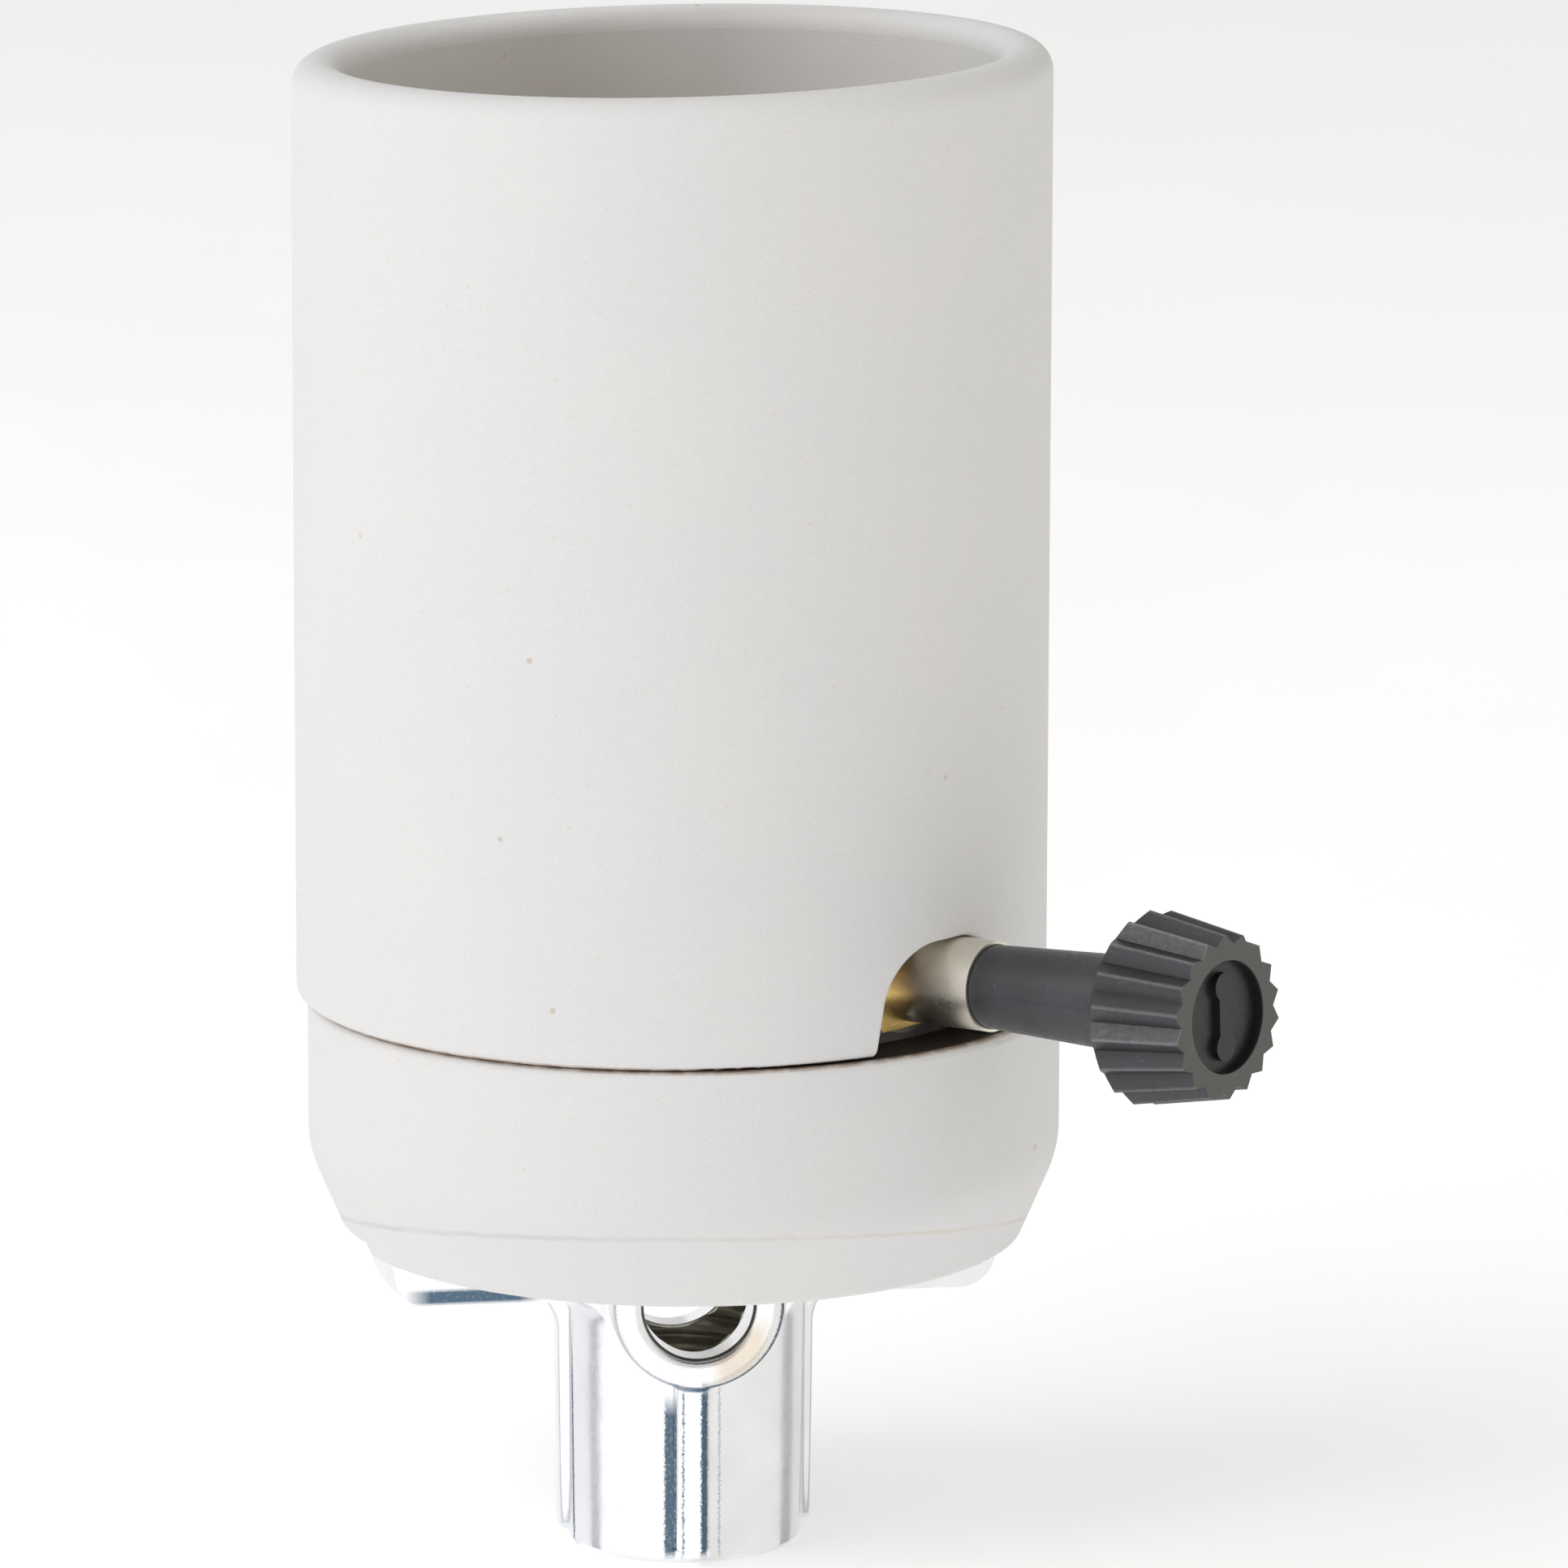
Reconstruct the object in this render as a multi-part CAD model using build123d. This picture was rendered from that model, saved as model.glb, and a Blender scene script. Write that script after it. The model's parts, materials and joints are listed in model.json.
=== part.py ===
from build123d import *
from math import acos, atan2, cos, degrees, hypot, radians, sin, tan
import os

# Porcelain mogul lampholder with a turn-knob switch and a pipe-threaded cap.
# Millimetres.  +Z is up towards the lamp mouth; the origin is the centre of the neck's lower end.
# The cap's arms lie along X, its wire windows face along Y, and the knob points at KNOB_ANGLE.

# ---- driving dimensions -------------------------------------------------------------------------
BODY_R = 27.0             # base ring, outside
SHELL_R = 26.9            # upper shell, outside
SHELL_BORE_R = 23.3       # lamp mouth and switch chamber
SHELL_SHIFT = -0.9        # the shell sits this far off the base's axis, within its screw holes' play
BASE_BOTTOM_Z = 23.0
SEAM_Z = 40.5
SHELF_BOTTOM_Z = 54.5
SHELF_TOP_Z = 61.0
RIM_Z = 108.3             # on the shell's axis; the rim is ground a little out of square
RIM_SLANT = 1.3           # degrees
RIM_HIGH_SIDE = -9.0      # about Z, from +X

NECK_BOTTOM_R = 8.5
NECK_TOP_R = 8.75
NECK_TOP_Z = 24.5
PIPE_BORE_R = 6.85        # 1/4-18 NPS, at the thread's root
FRONT_WINDOW_Z = 19.2     # in the neck's side towards -Y
BACK_WINDOW_Z = 17.7      # in its side towards +Y
WINDOW_TURN = -2.0        # the windows sit this many degrees about Z off the Y axis
WINDOW_R = 3.95
ARM_BOTTOM_Z = 19.0
ARM_HALF_WIDTH = 5.7
ASSEMBLY_SCREW_X = 16.5
ASSEMBLY_SCREW_R = 2.05   # No. 8-32

KNOB_ANGLE = -50.0        # about Z, from +X
SPINDLE_TILT = 2.5        # the spindle rises this many degrees towards the knob
SPINDLE_Z = 43.7          # height of the spindle's axis where it crosses the shell's axis
SPINDLE_R = 1.6
RUNNING_GAP = 0.05        # radial clearance of every sliding or turning fit

LAMP_SHELL_R = 20.4       # E39 screw shell, outside
SHEET = 0.6               # drawn brass of the screw shell
LAMP_SHELL_TOP_Z = 96.0
THREAD_END_Z = 69.0       # below this the screw shell is drawn in by its own thickness
SHELL_SCREW_ANGLE = 60.0  # about Z; the second shell screw is opposite
SHELL_SCREW_RADIUS = 15.4
DISC_THICKNESS = 0.8
CONTACT_TOP_Z = 68.5

TERMINAL_ANGLE_LINE = 130.0
TERMINAL_ANGLE_NEUTRAL = SHELL_SCREW_ANGLE + 180.0
STRIP = 1.0               # brass strip of the terminals and the switch frame

SHELL_AXIS = Pos(SHELL_SHIFT, 0, 0)
SWITCH_AXIS = Pos(SHELL_SHIFT, 0, SPINDLE_Z) * Rot(0, 0, KNOB_ANGLE) * Rot(0, -SPINDLE_TILT, 0)


# ---- shape helpers ------------------------------------------------------------------------------
def disc(radius, z0, z1, x=0.0, y=0.0):
    """A round bar along Z."""
    return Pos(x, y, (z0 + z1) / 2) * Cylinder(radius, z1 - z0)


def rod(radius, x0, x1, y=0.0, z=0.0):
    """A round bar along X."""
    return Pos((x0 + x1) / 2, y, z) * Rot(0, 90, 0) * Cylinder(radius, x1 - x0)


def block(x0, x1, y0, y1, z0, z1):
    """A square bar between two corners."""
    return Pos((x0 + x1) / 2, (y0 + y1) / 2, (z0 + z1) / 2) * Box(x1 - x0, y1 - y0, z1 - z0)


def cone(r0, r1, z0, z1, x=0.0, y=0.0):
    """A round bar along Z that tapers from r0 at z0 to r1 at z1."""
    return Pos(x, y, (z0 + z1) / 2) * Cone(r0, r1, z1 - z0)


def polar(radius, degrees):
    """X and Y of a point at a radius and an angle about Z."""
    return radius * cos(radians(degrees)), radius * sin(radians(degrees))


def turned(outline):
    """A solid of revolution about Z from an outline drawn as (radius, z)."""
    return revolve(make_face(Plane.XZ * outline), axis=Axis.Z)


def bent_strip(points, thickness, z0, z1):
    """A strip on edge that follows points in plan, between two heights."""
    plan = trace(Polyline(*points), line_width=thickness)
    return Pos(0, 0, z0) * extrude(plan, amount=z1 - z0)


def group(parts, place=Pos(0, 0, 0)):
    """Several separate solids in one node, each moved to its place."""
    return Compound(children=[place * solid for part in parts for solid in part.solids()])


# ---- porcelain ----------------------------------------------------------------------------------
COLUMN_R = 4.7            # posts that the assembly screws pass through
SHELL_HOLE_R = 3.0        # loose screw holes in the shell
BASE_HOLE_R = 2.3
NUT_POCKET = 10.7
NUT_POCKET_Z = 57.6
SLOT_HEIGHT = 7.65         # above the seam
SLOT_WIDE_SIDE = 7.6       # from the spindle's axis at the seam, towards -Y of the switch
SLOT_LEAN = 10.0           # degrees, of the wide side
SLOT_WIDE_ROUND = 4.8
SLOT_CLOSE_SIDE = 3.5      # on the other side the slot follows the bushing
SLOT_CLOSE_ROUND = 3.3
SLOT_EDGE_ROUND = 0.3
FRAME_POCKET_X = 23.4
FRAME_POCKET_HALF = 6.2
LIP_OUTER_ROUND = 1.9
LIP_INNER_ROUND = 1.6
SEAM_ROUND = 0.7


def knob_slot():
    """The lopsided arch for the bushing, from the seam up, along local X."""
    lean = tan(radians(SLOT_LEAN))
    outline = make_face(Polyline(
        (-SLOT_WIDE_SIDE - SLOT_HEIGHT * lean, -SLOT_HEIGHT),
        (-SLOT_WIDE_SIDE + SLOT_HEIGHT * lean, SLOT_HEIGHT),
        (SLOT_CLOSE_SIDE, SLOT_HEIGHT),
        (SLOT_CLOSE_SIDE, -SLOT_HEIGHT),
        close=True,
    ))
    upper = outline.vertices().group_by(Axis.Y)[-1].sort_by(Axis.X)
    outline = fillet(upper[-1], SLOT_CLOSE_ROUND)
    outline = fillet(outline.vertices().filter_by_position(Axis.X, -SLOT_WIDE_SIDE, -SLOT_WIDE_SIDE
                                                           + 2 * SLOT_HEIGHT * lean), SLOT_WIDE_ROUND)
    face = Plane.YZ * outline
    arch = Pos(SHELL_BORE_R - 3, 0, 0) * extrude(face, amount=SHELL_R - SHELL_BORE_R + 6)
    return Pos(0, 0, SEAM_Z) * arch


def slot_mouth(body):
    """Edges of the knob slot in the shell's outer wall, above the seam's rounded edge."""
    x, y = polar(SHELL_R, KNOB_ANGLE)
    edges = []
    for edge in body.edges():
        middle = edge @ 0.5
        near = hypot(middle.X - x, middle.Y - y) < SLOT_WIDE_SIDE + 1
        if near and middle.Z < RIM_Z / 2 and abs(hypot(middle.X, middle.Y) - SHELL_R) < 0.02:
            edges.append(edge)
    return [edge for edge in edges if edge.bounding_box().max.Z > SEAM_Z + SEAM_ROUND + 0.1
            and edge.bounding_box().max.Z < SEAM_Z + SLOT_HEIGHT + 0.1]


def rim_edges(body):
    """Edges of the rim's flat, from the shortest to the longest."""
    slope = SHELL_R * sin(radians(RIM_SLANT)) + 0.1
    rim = [edge for edge in body.edges() if edge.bounding_box().min.Z > RIM_Z - slope]
    return ShapeList(rim).sort_by(SortBy.LENGTH)


def upper_shell():
    spare = 2.0
    body = disc(SHELL_R, SEAM_Z, RIM_Z + spare)
    body -= disc(SHELL_BORE_R, SHELF_TOP_Z, RIM_Z + spare)
    body -= disc(SHELL_BORE_R, SEAM_Z, SHELF_BOTTOM_Z)
    ground_off = block(-2 * SHELL_R, 2 * SHELL_R, -2 * SHELL_R, 2 * SHELL_R, 0, 4 * spare)
    body -= Pos(0, 0, RIM_Z) * Rot(0, 0, RIM_HIGH_SIDE) * Rot(0, -RIM_SLANT, 0) * ground_off
    body = fillet(rim_edges(body)[-1], LIP_OUTER_ROUND)
    body = fillet(rim_edges(body)[0], LIP_INNER_ROUND)
    foot = body.edges().filter_by(GeomType.CIRCLE).filter_by_position(Axis.Z, SEAM_Z - 0.1, SEAM_Z + 0.1)
    body = fillet(foot.sort_by(SortBy.RADIUS)[-1], SEAM_ROUND)
    for side in (-1, 1):
        x = side * ASSEMBLY_SCREW_X
        post = disc(COLUMN_R, SEAM_Z, SHELF_BOTTOM_Z, x)
        post += block(min(x, side * SHELL_R), max(x, side * SHELL_R), -COLUMN_R, COLUMN_R,
                      SEAM_Z, SHELF_BOTTOM_Z)
        body += post & disc(SHELL_BORE_R + 0.5, SEAM_Z, SHELF_BOTTOM_Z)
        body -= disc(SHELL_HOLE_R, SEAM_Z, SHELF_TOP_Z, x)
        half = NUT_POCKET / 2
        body -= block(x - half, x + half, -half, half, NUT_POCKET_Z, SHELF_TOP_Z)
    for angle in (SHELL_SCREW_ANGLE, TERMINAL_ANGLE_NEUTRAL):
        x, y = polar(SHELL_SCREW_RADIUS, angle)
        body -= disc(SHELL_SCREW_R + 0.25, SHELF_BOTTOM_Z, SHELF_TOP_Z, x, y)
    body -= disc(BARREL_R, SHELF_BOTTOM_Z, SHELF_TOP_Z)
    for x, y in shelf_screw_places():
        body -= disc(SHELF_SCREW_R + 0.2, SHELF_BOTTOM_Z, SHELF_TOP_Z, x, y)
        body -= disc(SHELF_HEAD_R + 0.3, SHELF_HEAD_Z, SHELF_TOP_Z, x, y)
    body -= Rot(0, 0, KNOB_ANGLE) * knob_slot()
    body = fillet(slot_mouth(body), SLOT_EDGE_ROUND)
    pocket = block(SHELL_BORE_R - 4, FRAME_POCKET_X, -FRAME_POCKET_HALF, FRAME_POCKET_HALF,
                   SEAM_Z, SHELF_BOTTOM_Z)
    body -= Rot(0, 0, KNOB_ANGLE) * pocket
    return SHELL_AXIS * body


BASE_BOTTOM_R = 24.3
BASE_CREASE_R = 26.4
BASE_CREASE_Z = 27.9
BASE_SHOULDER_Z = 30.8
BASE_FLOOR_Z = 28.6
BASE_CAVITY_R = 22.6
WIRE_HOLE_R = 13.5
ARM_CHANNEL_HALF = 6.5
ARM_CHANNEL_TOP_Z = 24.1


def base_body():
    outline = Polyline((0, SEAM_Z), (0, BASE_BOTTOM_Z), (BASE_BOTTOM_R, BASE_BOTTOM_Z),
                       (BASE_CREASE_R, BASE_CREASE_Z))
    outline += TangentArc((BODY_R, BASE_SHOULDER_Z), (BASE_CREASE_R, BASE_CREASE_Z), tangent=(0, -1))
    outline += Polyline((BODY_R, BASE_SHOULDER_Z), (BODY_R, SEAM_Z), (0, SEAM_Z))
    body = turned(outline)
    top = body.edges().filter_by(GeomType.CIRCLE).filter_by_position(Axis.Z, SEAM_Z - 0.1, SEAM_Z + 0.1)
    body = fillet(top.sort_by(SortBy.RADIUS)[-1], SEAM_ROUND)
    foot = body.edges().filter_by(GeomType.CIRCLE).filter_by_position(
        Axis.Z, BASE_BOTTOM_Z - 0.1, BASE_BOTTOM_Z + 0.1)
    body = fillet(foot.sort_by(SortBy.RADIUS)[-1], 0.5)
    body -= disc(BASE_CAVITY_R, BASE_FLOOR_Z, SEAM_Z)
    body -= disc(WIRE_HOLE_R, BASE_BOTTOM_Z, BASE_FLOOR_Z)
    body -= block(-BODY_R, BODY_R, -ARM_CHANNEL_HALF, ARM_CHANNEL_HALF,
                  BASE_BOTTOM_Z, ARM_CHANNEL_TOP_Z)
    for side in (-1, 1):
        x = side * ASSEMBLY_SCREW_X
        post = disc(COLUMN_R, BASE_FLOOR_Z, SEAM_Z, x)
        post += block(min(x, side * BODY_R), max(x, side * BODY_R), -COLUMN_R, COLUMN_R,
                      BASE_FLOOR_Z, SEAM_Z)
        post += disc(COLUMN_R, ARM_CHANNEL_TOP_Z, BASE_FLOOR_Z, x)
        body += post & disc(BASE_CAVITY_R + 0.5, ARM_CHANNEL_TOP_Z, SEAM_Z)
        body -= disc(BASE_HOLE_R, BASE_BOTTOM_Z, SEAM_Z, x)
    return body


# ---- die-cast cap -------------------------------------------------------------------------------
ARM_FLOOR_Z = 22.2
ARM_TOP_Z = 24.1
ARM_END_BOTTOM_R = 22.1
ARM_END_TOP_R = 23.0
LIP_THICKNESS = 1.8
ARM_CORNER_ROUND = 2.4
NECK_ARM_FILLET = 2.0
RING_OUTER_R = 6.2
RING_FACE_R = 9.6
RIB_WIDTH = 2.3
RIB_R = 9.2               # of the side ribs, at the neck's lower end
RIB_TOP_R = 9.35          # under the arms
WINDOW_RIB_R = 9.4        # of the ribs under the windows
WINDOW_RIB_TURN = -5.0    # degrees about Z off the Y axis
RIB_BOTTOM_Z = 0.9
RIB_ROUND = 0.55
RIB_ROOT_ROUND = 1.0
RIB_ROOT_CREASE = 0.05    # the roots dip this far into the neck, so they end in a faint crease
RIB_END_ROUND = 0.55
RIB_FLARE = 3.5
NECK_FOOT_ROUND = 0.5
RING_OUTER_ROUND = 0.9
RING_INNER_ROUND = 0.8
HEAD_R = 4.0              # flat heads of the assembly screws
HEAD_DEPTH = 2.1
SCREW_SLOT_HALF = 0.45    # every slotted head
SCREW_SLOT_DEPTH = 0.9
SQUARE_NUT = 8.7
SQUARE_NUT_HEIGHT = 3.0
SET_SCREW_R = 1.6
SET_SCREW_Z = 8.0
SET_SCREW_AXIS = Pos(0, 0, SET_SCREW_Z) * Rot(0, 0, 90 + WINDOW_RIB_TURN)


def arms():
    """Both arms as one bar, with turned-up ends and a boss at each screw."""
    bar = cone(ARM_END_BOTTOM_R, ARM_END_TOP_R, ARM_BOTTOM_Z, ARM_TOP_Z)
    lower = bar.edges().filter_by_position(Axis.Z, ARM_BOTTOM_Z - 0.1, ARM_BOTTOM_Z + 0.1)
    bar = fillet(lower, ARM_CORNER_ROUND)
    bar &= block(-BODY_R, BODY_R, -ARM_HALF_WIDTH, ARM_HALF_WIDTH, ARM_BOTTOM_Z, ARM_TOP_Z)
    inner_r = ARM_END_TOP_R - LIP_THICKNESS
    bar -= disc(inner_r, ARM_FLOOR_Z, ARM_TOP_Z)
    for side in (-1, 1):
        bar += disc(HEAD_R + 0.4, ARM_BOTTOM_Z + 0.5, ARM_TOP_Z, side * ASSEMBLY_SCREW_X)
    return bar


def rib(angle, radius, top_z):
    """Upright rib that leans with the neck's taper, rounded outside and blended in at its roots."""
    crest_x, crest_y = radius - RIB_ROUND, RIB_WIDTH / 2 - RIB_ROUND
    foot_r = NECK_BOTTOM_R - RIB_ROOT_CREASE
    root_r = foot_r + RIB_ROOT_ROUND
    crest_r = hypot(crest_x, crest_y)
    rounds = RIB_ROUND + RIB_ROOT_ROUND
    spread = acos((root_r ** 2 + crest_r ** 2 - rounds ** 2) / (2 * root_r * crest_r))
    root_angle = degrees(spread + atan2(crest_y, crest_x))
    root_x, root_y = polar(root_r, root_angle)
    foot_x, foot_y = polar(foot_r, root_angle)
    turn_x = crest_x + (root_x - crest_x) * RIB_ROUND / rounds
    turn_y = crest_y + (root_y - crest_y) * RIB_ROUND / rounds
    half = [(NECK_BOTTOM_R - 1.5, foot_y), (foot_x, foot_y), (turn_x, turn_y), (radius, crest_y)]
    face = make_face(Polyline(*half, *[(x, -y) for x, y in reversed(half)], close=True))
    for side in (-1, 1):
        face += Pos(crest_x, side * crest_y) * Circle(RIB_ROUND)
        face -= Pos(root_x, side * root_y) * Circle(RIB_ROOT_ROUND)
    bar = Pos(0, 0, RIB_BOTTOM_Z) * extrude(face, amount=top_z - RIB_BOTTOM_Z)
    end = bar.faces().sort_by(Axis.Z)[0]
    outer = [edge for edge in end.edges() if hypot((edge @ 0.5).X, (edge @ 0.5).Y) > foot_r - 0.01]
    bar = fillet(outer, RIB_END_ROUND)
    lean = degrees(atan2(NECK_TOP_R - NECK_BOTTOM_R, NECK_TOP_Z))
    return Rot(0, 0, angle) * Rot(0, lean, 0) * bar


def rib_flare(angle):
    """Gusset where a side rib runs out under its arm."""
    centre_x, centre_z = RIB_TOP_R + RIB_FLARE, ARM_BOTTOM_Z - RIB_FLARE
    web = block(NECK_BOTTOM_R - 1, centre_x, -RIB_WIDTH / 2, RIB_WIDTH / 2, centre_z, ARM_BOTTOM_Z + 1.5)
    web -= Pos(centre_x, 0, centre_z) * Rot(90, 0, 0) * Cylinder(RIB_FLARE, 2 * RIB_WIDTH)
    web = fillet(web.edges().filter_by(GeomType.CIRCLE), RIB_ROUND)
    return Rot(0, 0, angle) * web


def ring(angle, z):
    """Bead around one wire window."""
    bar = rod(RING_OUTER_R, 0, RING_FACE_R, z=z)
    face = bar.faces().sort_by(Axis.X)[-1]
    return Rot(0, 0, angle) * fillet(face.edges(), RING_OUTER_ROUND)


def window(angle, z):
    """Wire window with a rounded mouth, as a solid to cut."""
    mouth_r = WINDOW_R + RING_INNER_ROUND
    depth = RING_FACE_R - RING_INNER_ROUND
    flare = rod(mouth_r, depth, RING_FACE_R, z=z)
    bead = Pos(depth, 0, z) * Rot(0, 90, 0) * Torus(mouth_r, RING_INNER_ROUND)
    return Rot(0, 0, angle) * (rod(WINDOW_R, 0, RING_FACE_R, z=z) + (flare - bead))


def cap():
    neck = cone(NECK_BOTTOM_R, NECK_TOP_R, 0, NECK_TOP_Z)
    neck = fillet(neck.edges().filter_by(GeomType.CIRCLE).sort_by(Axis.Z)[0], NECK_FOOT_ROUND)
    body = neck + arms()
    corner = body.edges().filter_by_position(Axis.Z, ARM_BOTTOM_Z - 0.05, ARM_BOTTOM_Z + 0.05)
    corner = [edge for edge in corner if (edge @ 0.5).X ** 2 + (edge @ 0.5).Y ** 2 < 9.5 ** 2]
    body = fillet(corner, NECK_ARM_FILLET)
    for angle in (0, 180):
        body += rib(angle, RIB_R, ARM_BOTTOM_Z + 0.5)
        body += rib_flare(angle)
    for side, z in ((-90, FRONT_WINDOW_Z), (90, BACK_WINDOW_Z)):
        body += rib(side + WINDOW_RIB_TURN, WINDOW_RIB_R, z - WINDOW_R)
        body += ring(side + WINDOW_TURN, z)
    body -= disc(PIPE_BORE_R, 0, FRONT_WINDOW_Z + RING_OUTER_R)
    for side, z in ((-90, FRONT_WINDOW_Z), (90, BACK_WINDOW_Z)):
        body -= window(side + WINDOW_TURN, z)
    for side in (-1, 1):
        x = side * ASSEMBLY_SCREW_X
        body -= disc(ASSEMBLY_SCREW_R + 0.1, ARM_BOTTOM_Z, ARM_TOP_Z, x)
        body -= cone(HEAD_R + 0.1, ASSEMBLY_SCREW_R + 0.1, ARM_BOTTOM_Z, ARM_BOTTOM_Z + HEAD_DEPTH, x)
    body -= set_screw_hole()
    return body


def set_screw_hole():
    return SET_SCREW_AXIS * rod(SET_SCREW_R, 0, WINDOW_RIB_R + 2)


def cap_set_screw():
    """Slotted set screw in the back rib that locks the cap on its pipe."""
    face_x = WINDOW_RIB_R + 0.2
    screw = rod(SET_SCREW_R, PIPE_BORE_R, face_x)
    return SET_SCREW_AXIS * (screw - block(face_x - 0.8, face_x, -3, 3, -0.25, 0.25))


def assembly_screws():
    """Flat-head screws from the cap's arms up to the nuts in the shelf."""
    screws = []
    for side in (-1, 1):
        x = side * ASSEMBLY_SCREW_X
        screw = disc(ASSEMBLY_SCREW_R, ARM_BOTTOM_Z + 0.1, SHELF_TOP_Z - 0.3, x)
        screw += cone(HEAD_R, ASSEMBLY_SCREW_R, ARM_BOTTOM_Z + 0.1, ARM_BOTTOM_Z + HEAD_DEPTH, x)
        slot_top = ARM_BOTTOM_Z + 0.1 + SCREW_SLOT_DEPTH
        screw -= block(x - HEAD_R - 1, x + HEAD_R + 1, -SCREW_SLOT_HALF, SCREW_SLOT_HALF,
                       ARM_BOTTOM_Z, slot_top)
        screws.append(screw)
    return group(screws)


def assembly_nuts():
    """Square nuts in the shelf's pockets."""
    half = SQUARE_NUT / 2
    nuts = []
    for side in (-1, 1):
        x = side * ASSEMBLY_SCREW_X
        nut = block(x - half, x + half, -half, half, NUT_POCKET_Z, NUT_POCKET_Z + SQUARE_NUT_HEIGHT)
        nuts.append(nut - disc(ASSEMBLY_SCREW_R, NUT_POCKET_Z, SHELF_TOP_Z, x))
    return group(nuts)


# ---- lamp contacts ------------------------------------------------------------------------------
SHELL_SCREW_R = 1.65      # No. 6-32
FLOOR_RING_R = 11.5
SHELL_CORNER_ROUND = 0.8
SHELL_SCREW_HEAD = (3.0, 1.9)   # radius and height
SHELL_SCREW_TIP_Z = 51.1
HEX_NUT = 7.9             # across flats
HEX_NUT_HEIGHT = 2.7
DISC_R = 22.4
DISC_TOP_Z = SHELF_TOP_Z + DISC_THICKNESS
FLOOR_TOP_Z = DISC_TOP_Z + SHEET
BARREL_R = 3.4
STEM_R = 2.4
BUTTON_R = 5.2
BUTTON_THICKNESS = 2.0
BUTTON_ROUND = 1.5
STEM_TIP_Z = 51.3
GROOVE_Z = (51.9, 52.6)   # in the stem, for the retainer
GROOVE_DEPTH = 0.5
RETAINER_R = 3.3
SPRING_R = 4.35
SPRING_WIRE_R = 0.32
SPRING_TURNS = 3


def insulating_disc():
    """Fibre disc between the shelf and the screw shell."""
    plate = disc(DISC_R, SHELF_TOP_Z, DISC_TOP_Z)
    plate -= disc(BUTTON_R + 0.5, SHELF_TOP_Z, DISC_TOP_Z)
    for angle in (SHELL_SCREW_ANGLE, TERMINAL_ANGLE_NEUTRAL):
        x, y = polar(SHELL_SCREW_RADIUS, angle)
        plate -= disc(SHELL_SCREW_R + 0.1, SHELF_TOP_Z, DISC_TOP_Z, x, y)
    return SHELL_AXIS * plate


def screw_shell():
    """E39 screw shell with its floor ring, as one drawing."""
    lower_r = LAMP_SHELL_R - SHEET
    outline = Polyline(
        (FLOOR_RING_R, DISC_TOP_Z),
        (lower_r, DISC_TOP_Z),
        (lower_r, THREAD_END_Z - SHEET),
        (LAMP_SHELL_R, THREAD_END_Z - SHEET),
        (LAMP_SHELL_R, LAMP_SHELL_TOP_Z),
        (lower_r, LAMP_SHELL_TOP_Z),
        (lower_r, THREAD_END_Z),
        (lower_r - SHEET, THREAD_END_Z),
        (lower_r - SHEET, FLOOR_TOP_Z),
        (FLOOR_RING_R, FLOOR_TOP_Z),
        close=True,
    )
    shell = turned(outline)
    corners = shell.edges().filter_by(GeomType.CIRCLE)
    outer = corners.filter_by_position(Axis.Z, DISC_TOP_Z - 0.1, DISC_TOP_Z + 0.1)
    shell = fillet(outer.sort_by(SortBy.RADIUS)[-1], SHELL_CORNER_ROUND + SHEET)
    corners = shell.edges().filter_by(GeomType.CIRCLE)
    inner = corners.filter_by_position(Axis.Z, FLOOR_TOP_Z - 0.1, FLOOR_TOP_Z + 0.1)
    shell = fillet(inner.sort_by(SortBy.RADIUS)[-1], SHELL_CORNER_ROUND)
    for angle in (SHELL_SCREW_ANGLE, TERMINAL_ANGLE_NEUTRAL):
        x, y = polar(SHELL_SCREW_RADIUS, angle)
        shell -= disc(SHELL_SCREW_R + 0.1, DISC_TOP_Z, FLOOR_TOP_Z, x, y)
    return SHELL_AXIS * shell


def pan_screw(radius, head_r, head_height, seat_z, tip_z, x, y, up=1):
    """Slotted pan-head screw; up is 1 where the head is on top and -1 where it is below."""
    ends = sorted((seat_z, tip_z))
    head = sorted((seat_z, seat_z + up * head_height))
    top = disc(head_r, head[0], head[1], x, y)
    face_z = seat_z + up * head_height
    rim = top.edges().filter_by(GeomType.CIRCLE).sort_by(Axis.Z)
    top = fillet(rim[-1] if up > 0 else rim[0], 0.5)
    slot = sorted((face_z, face_z - up * SCREW_SLOT_DEPTH))
    screw = top + disc(radius, ends[0], ends[1], x, y)
    return screw - block(x - head_r - 1, x + head_r + 1, y - SCREW_SLOT_HALF, y + SCREW_SLOT_HALF, *slot)


def shell_screws():
    """Screws through the screw shell's floor: one into its nut, one into the neutral terminal."""
    screws = []
    for angle in (SHELL_SCREW_ANGLE, TERMINAL_ANGLE_NEUTRAL):
        x, y = polar(SHELL_SCREW_RADIUS, angle)
        screws.append(pan_screw(SHELL_SCREW_R, *SHELL_SCREW_HEAD, FLOOR_TOP_Z, SHELL_SCREW_TIP_Z, x, y))
    return group(screws, SHELL_AXIS)


def shell_screw_nut():
    """Hexagon nut under the shelf."""
    x, y = polar(SHELL_SCREW_RADIUS, SHELL_SCREW_ANGLE)
    plan = RegularPolygon(HEX_NUT / 2, 6, major_radius=False)
    low = SHELF_BOTTOM_Z - HEX_NUT_HEIGHT
    nut = Pos(x, y, low) * extrude(plan, amount=HEX_NUT_HEIGHT)
    return SHELL_AXIS * (nut - disc(SHELL_SCREW_R, low, SHELF_BOTTOM_Z, x, y))


BARREL_TOP_Z = 63.2
BARREL_FLARE_Z = 52.9
BARREL_FLARE = 0.8
LOAD_STRAP_Z = 53.7


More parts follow.
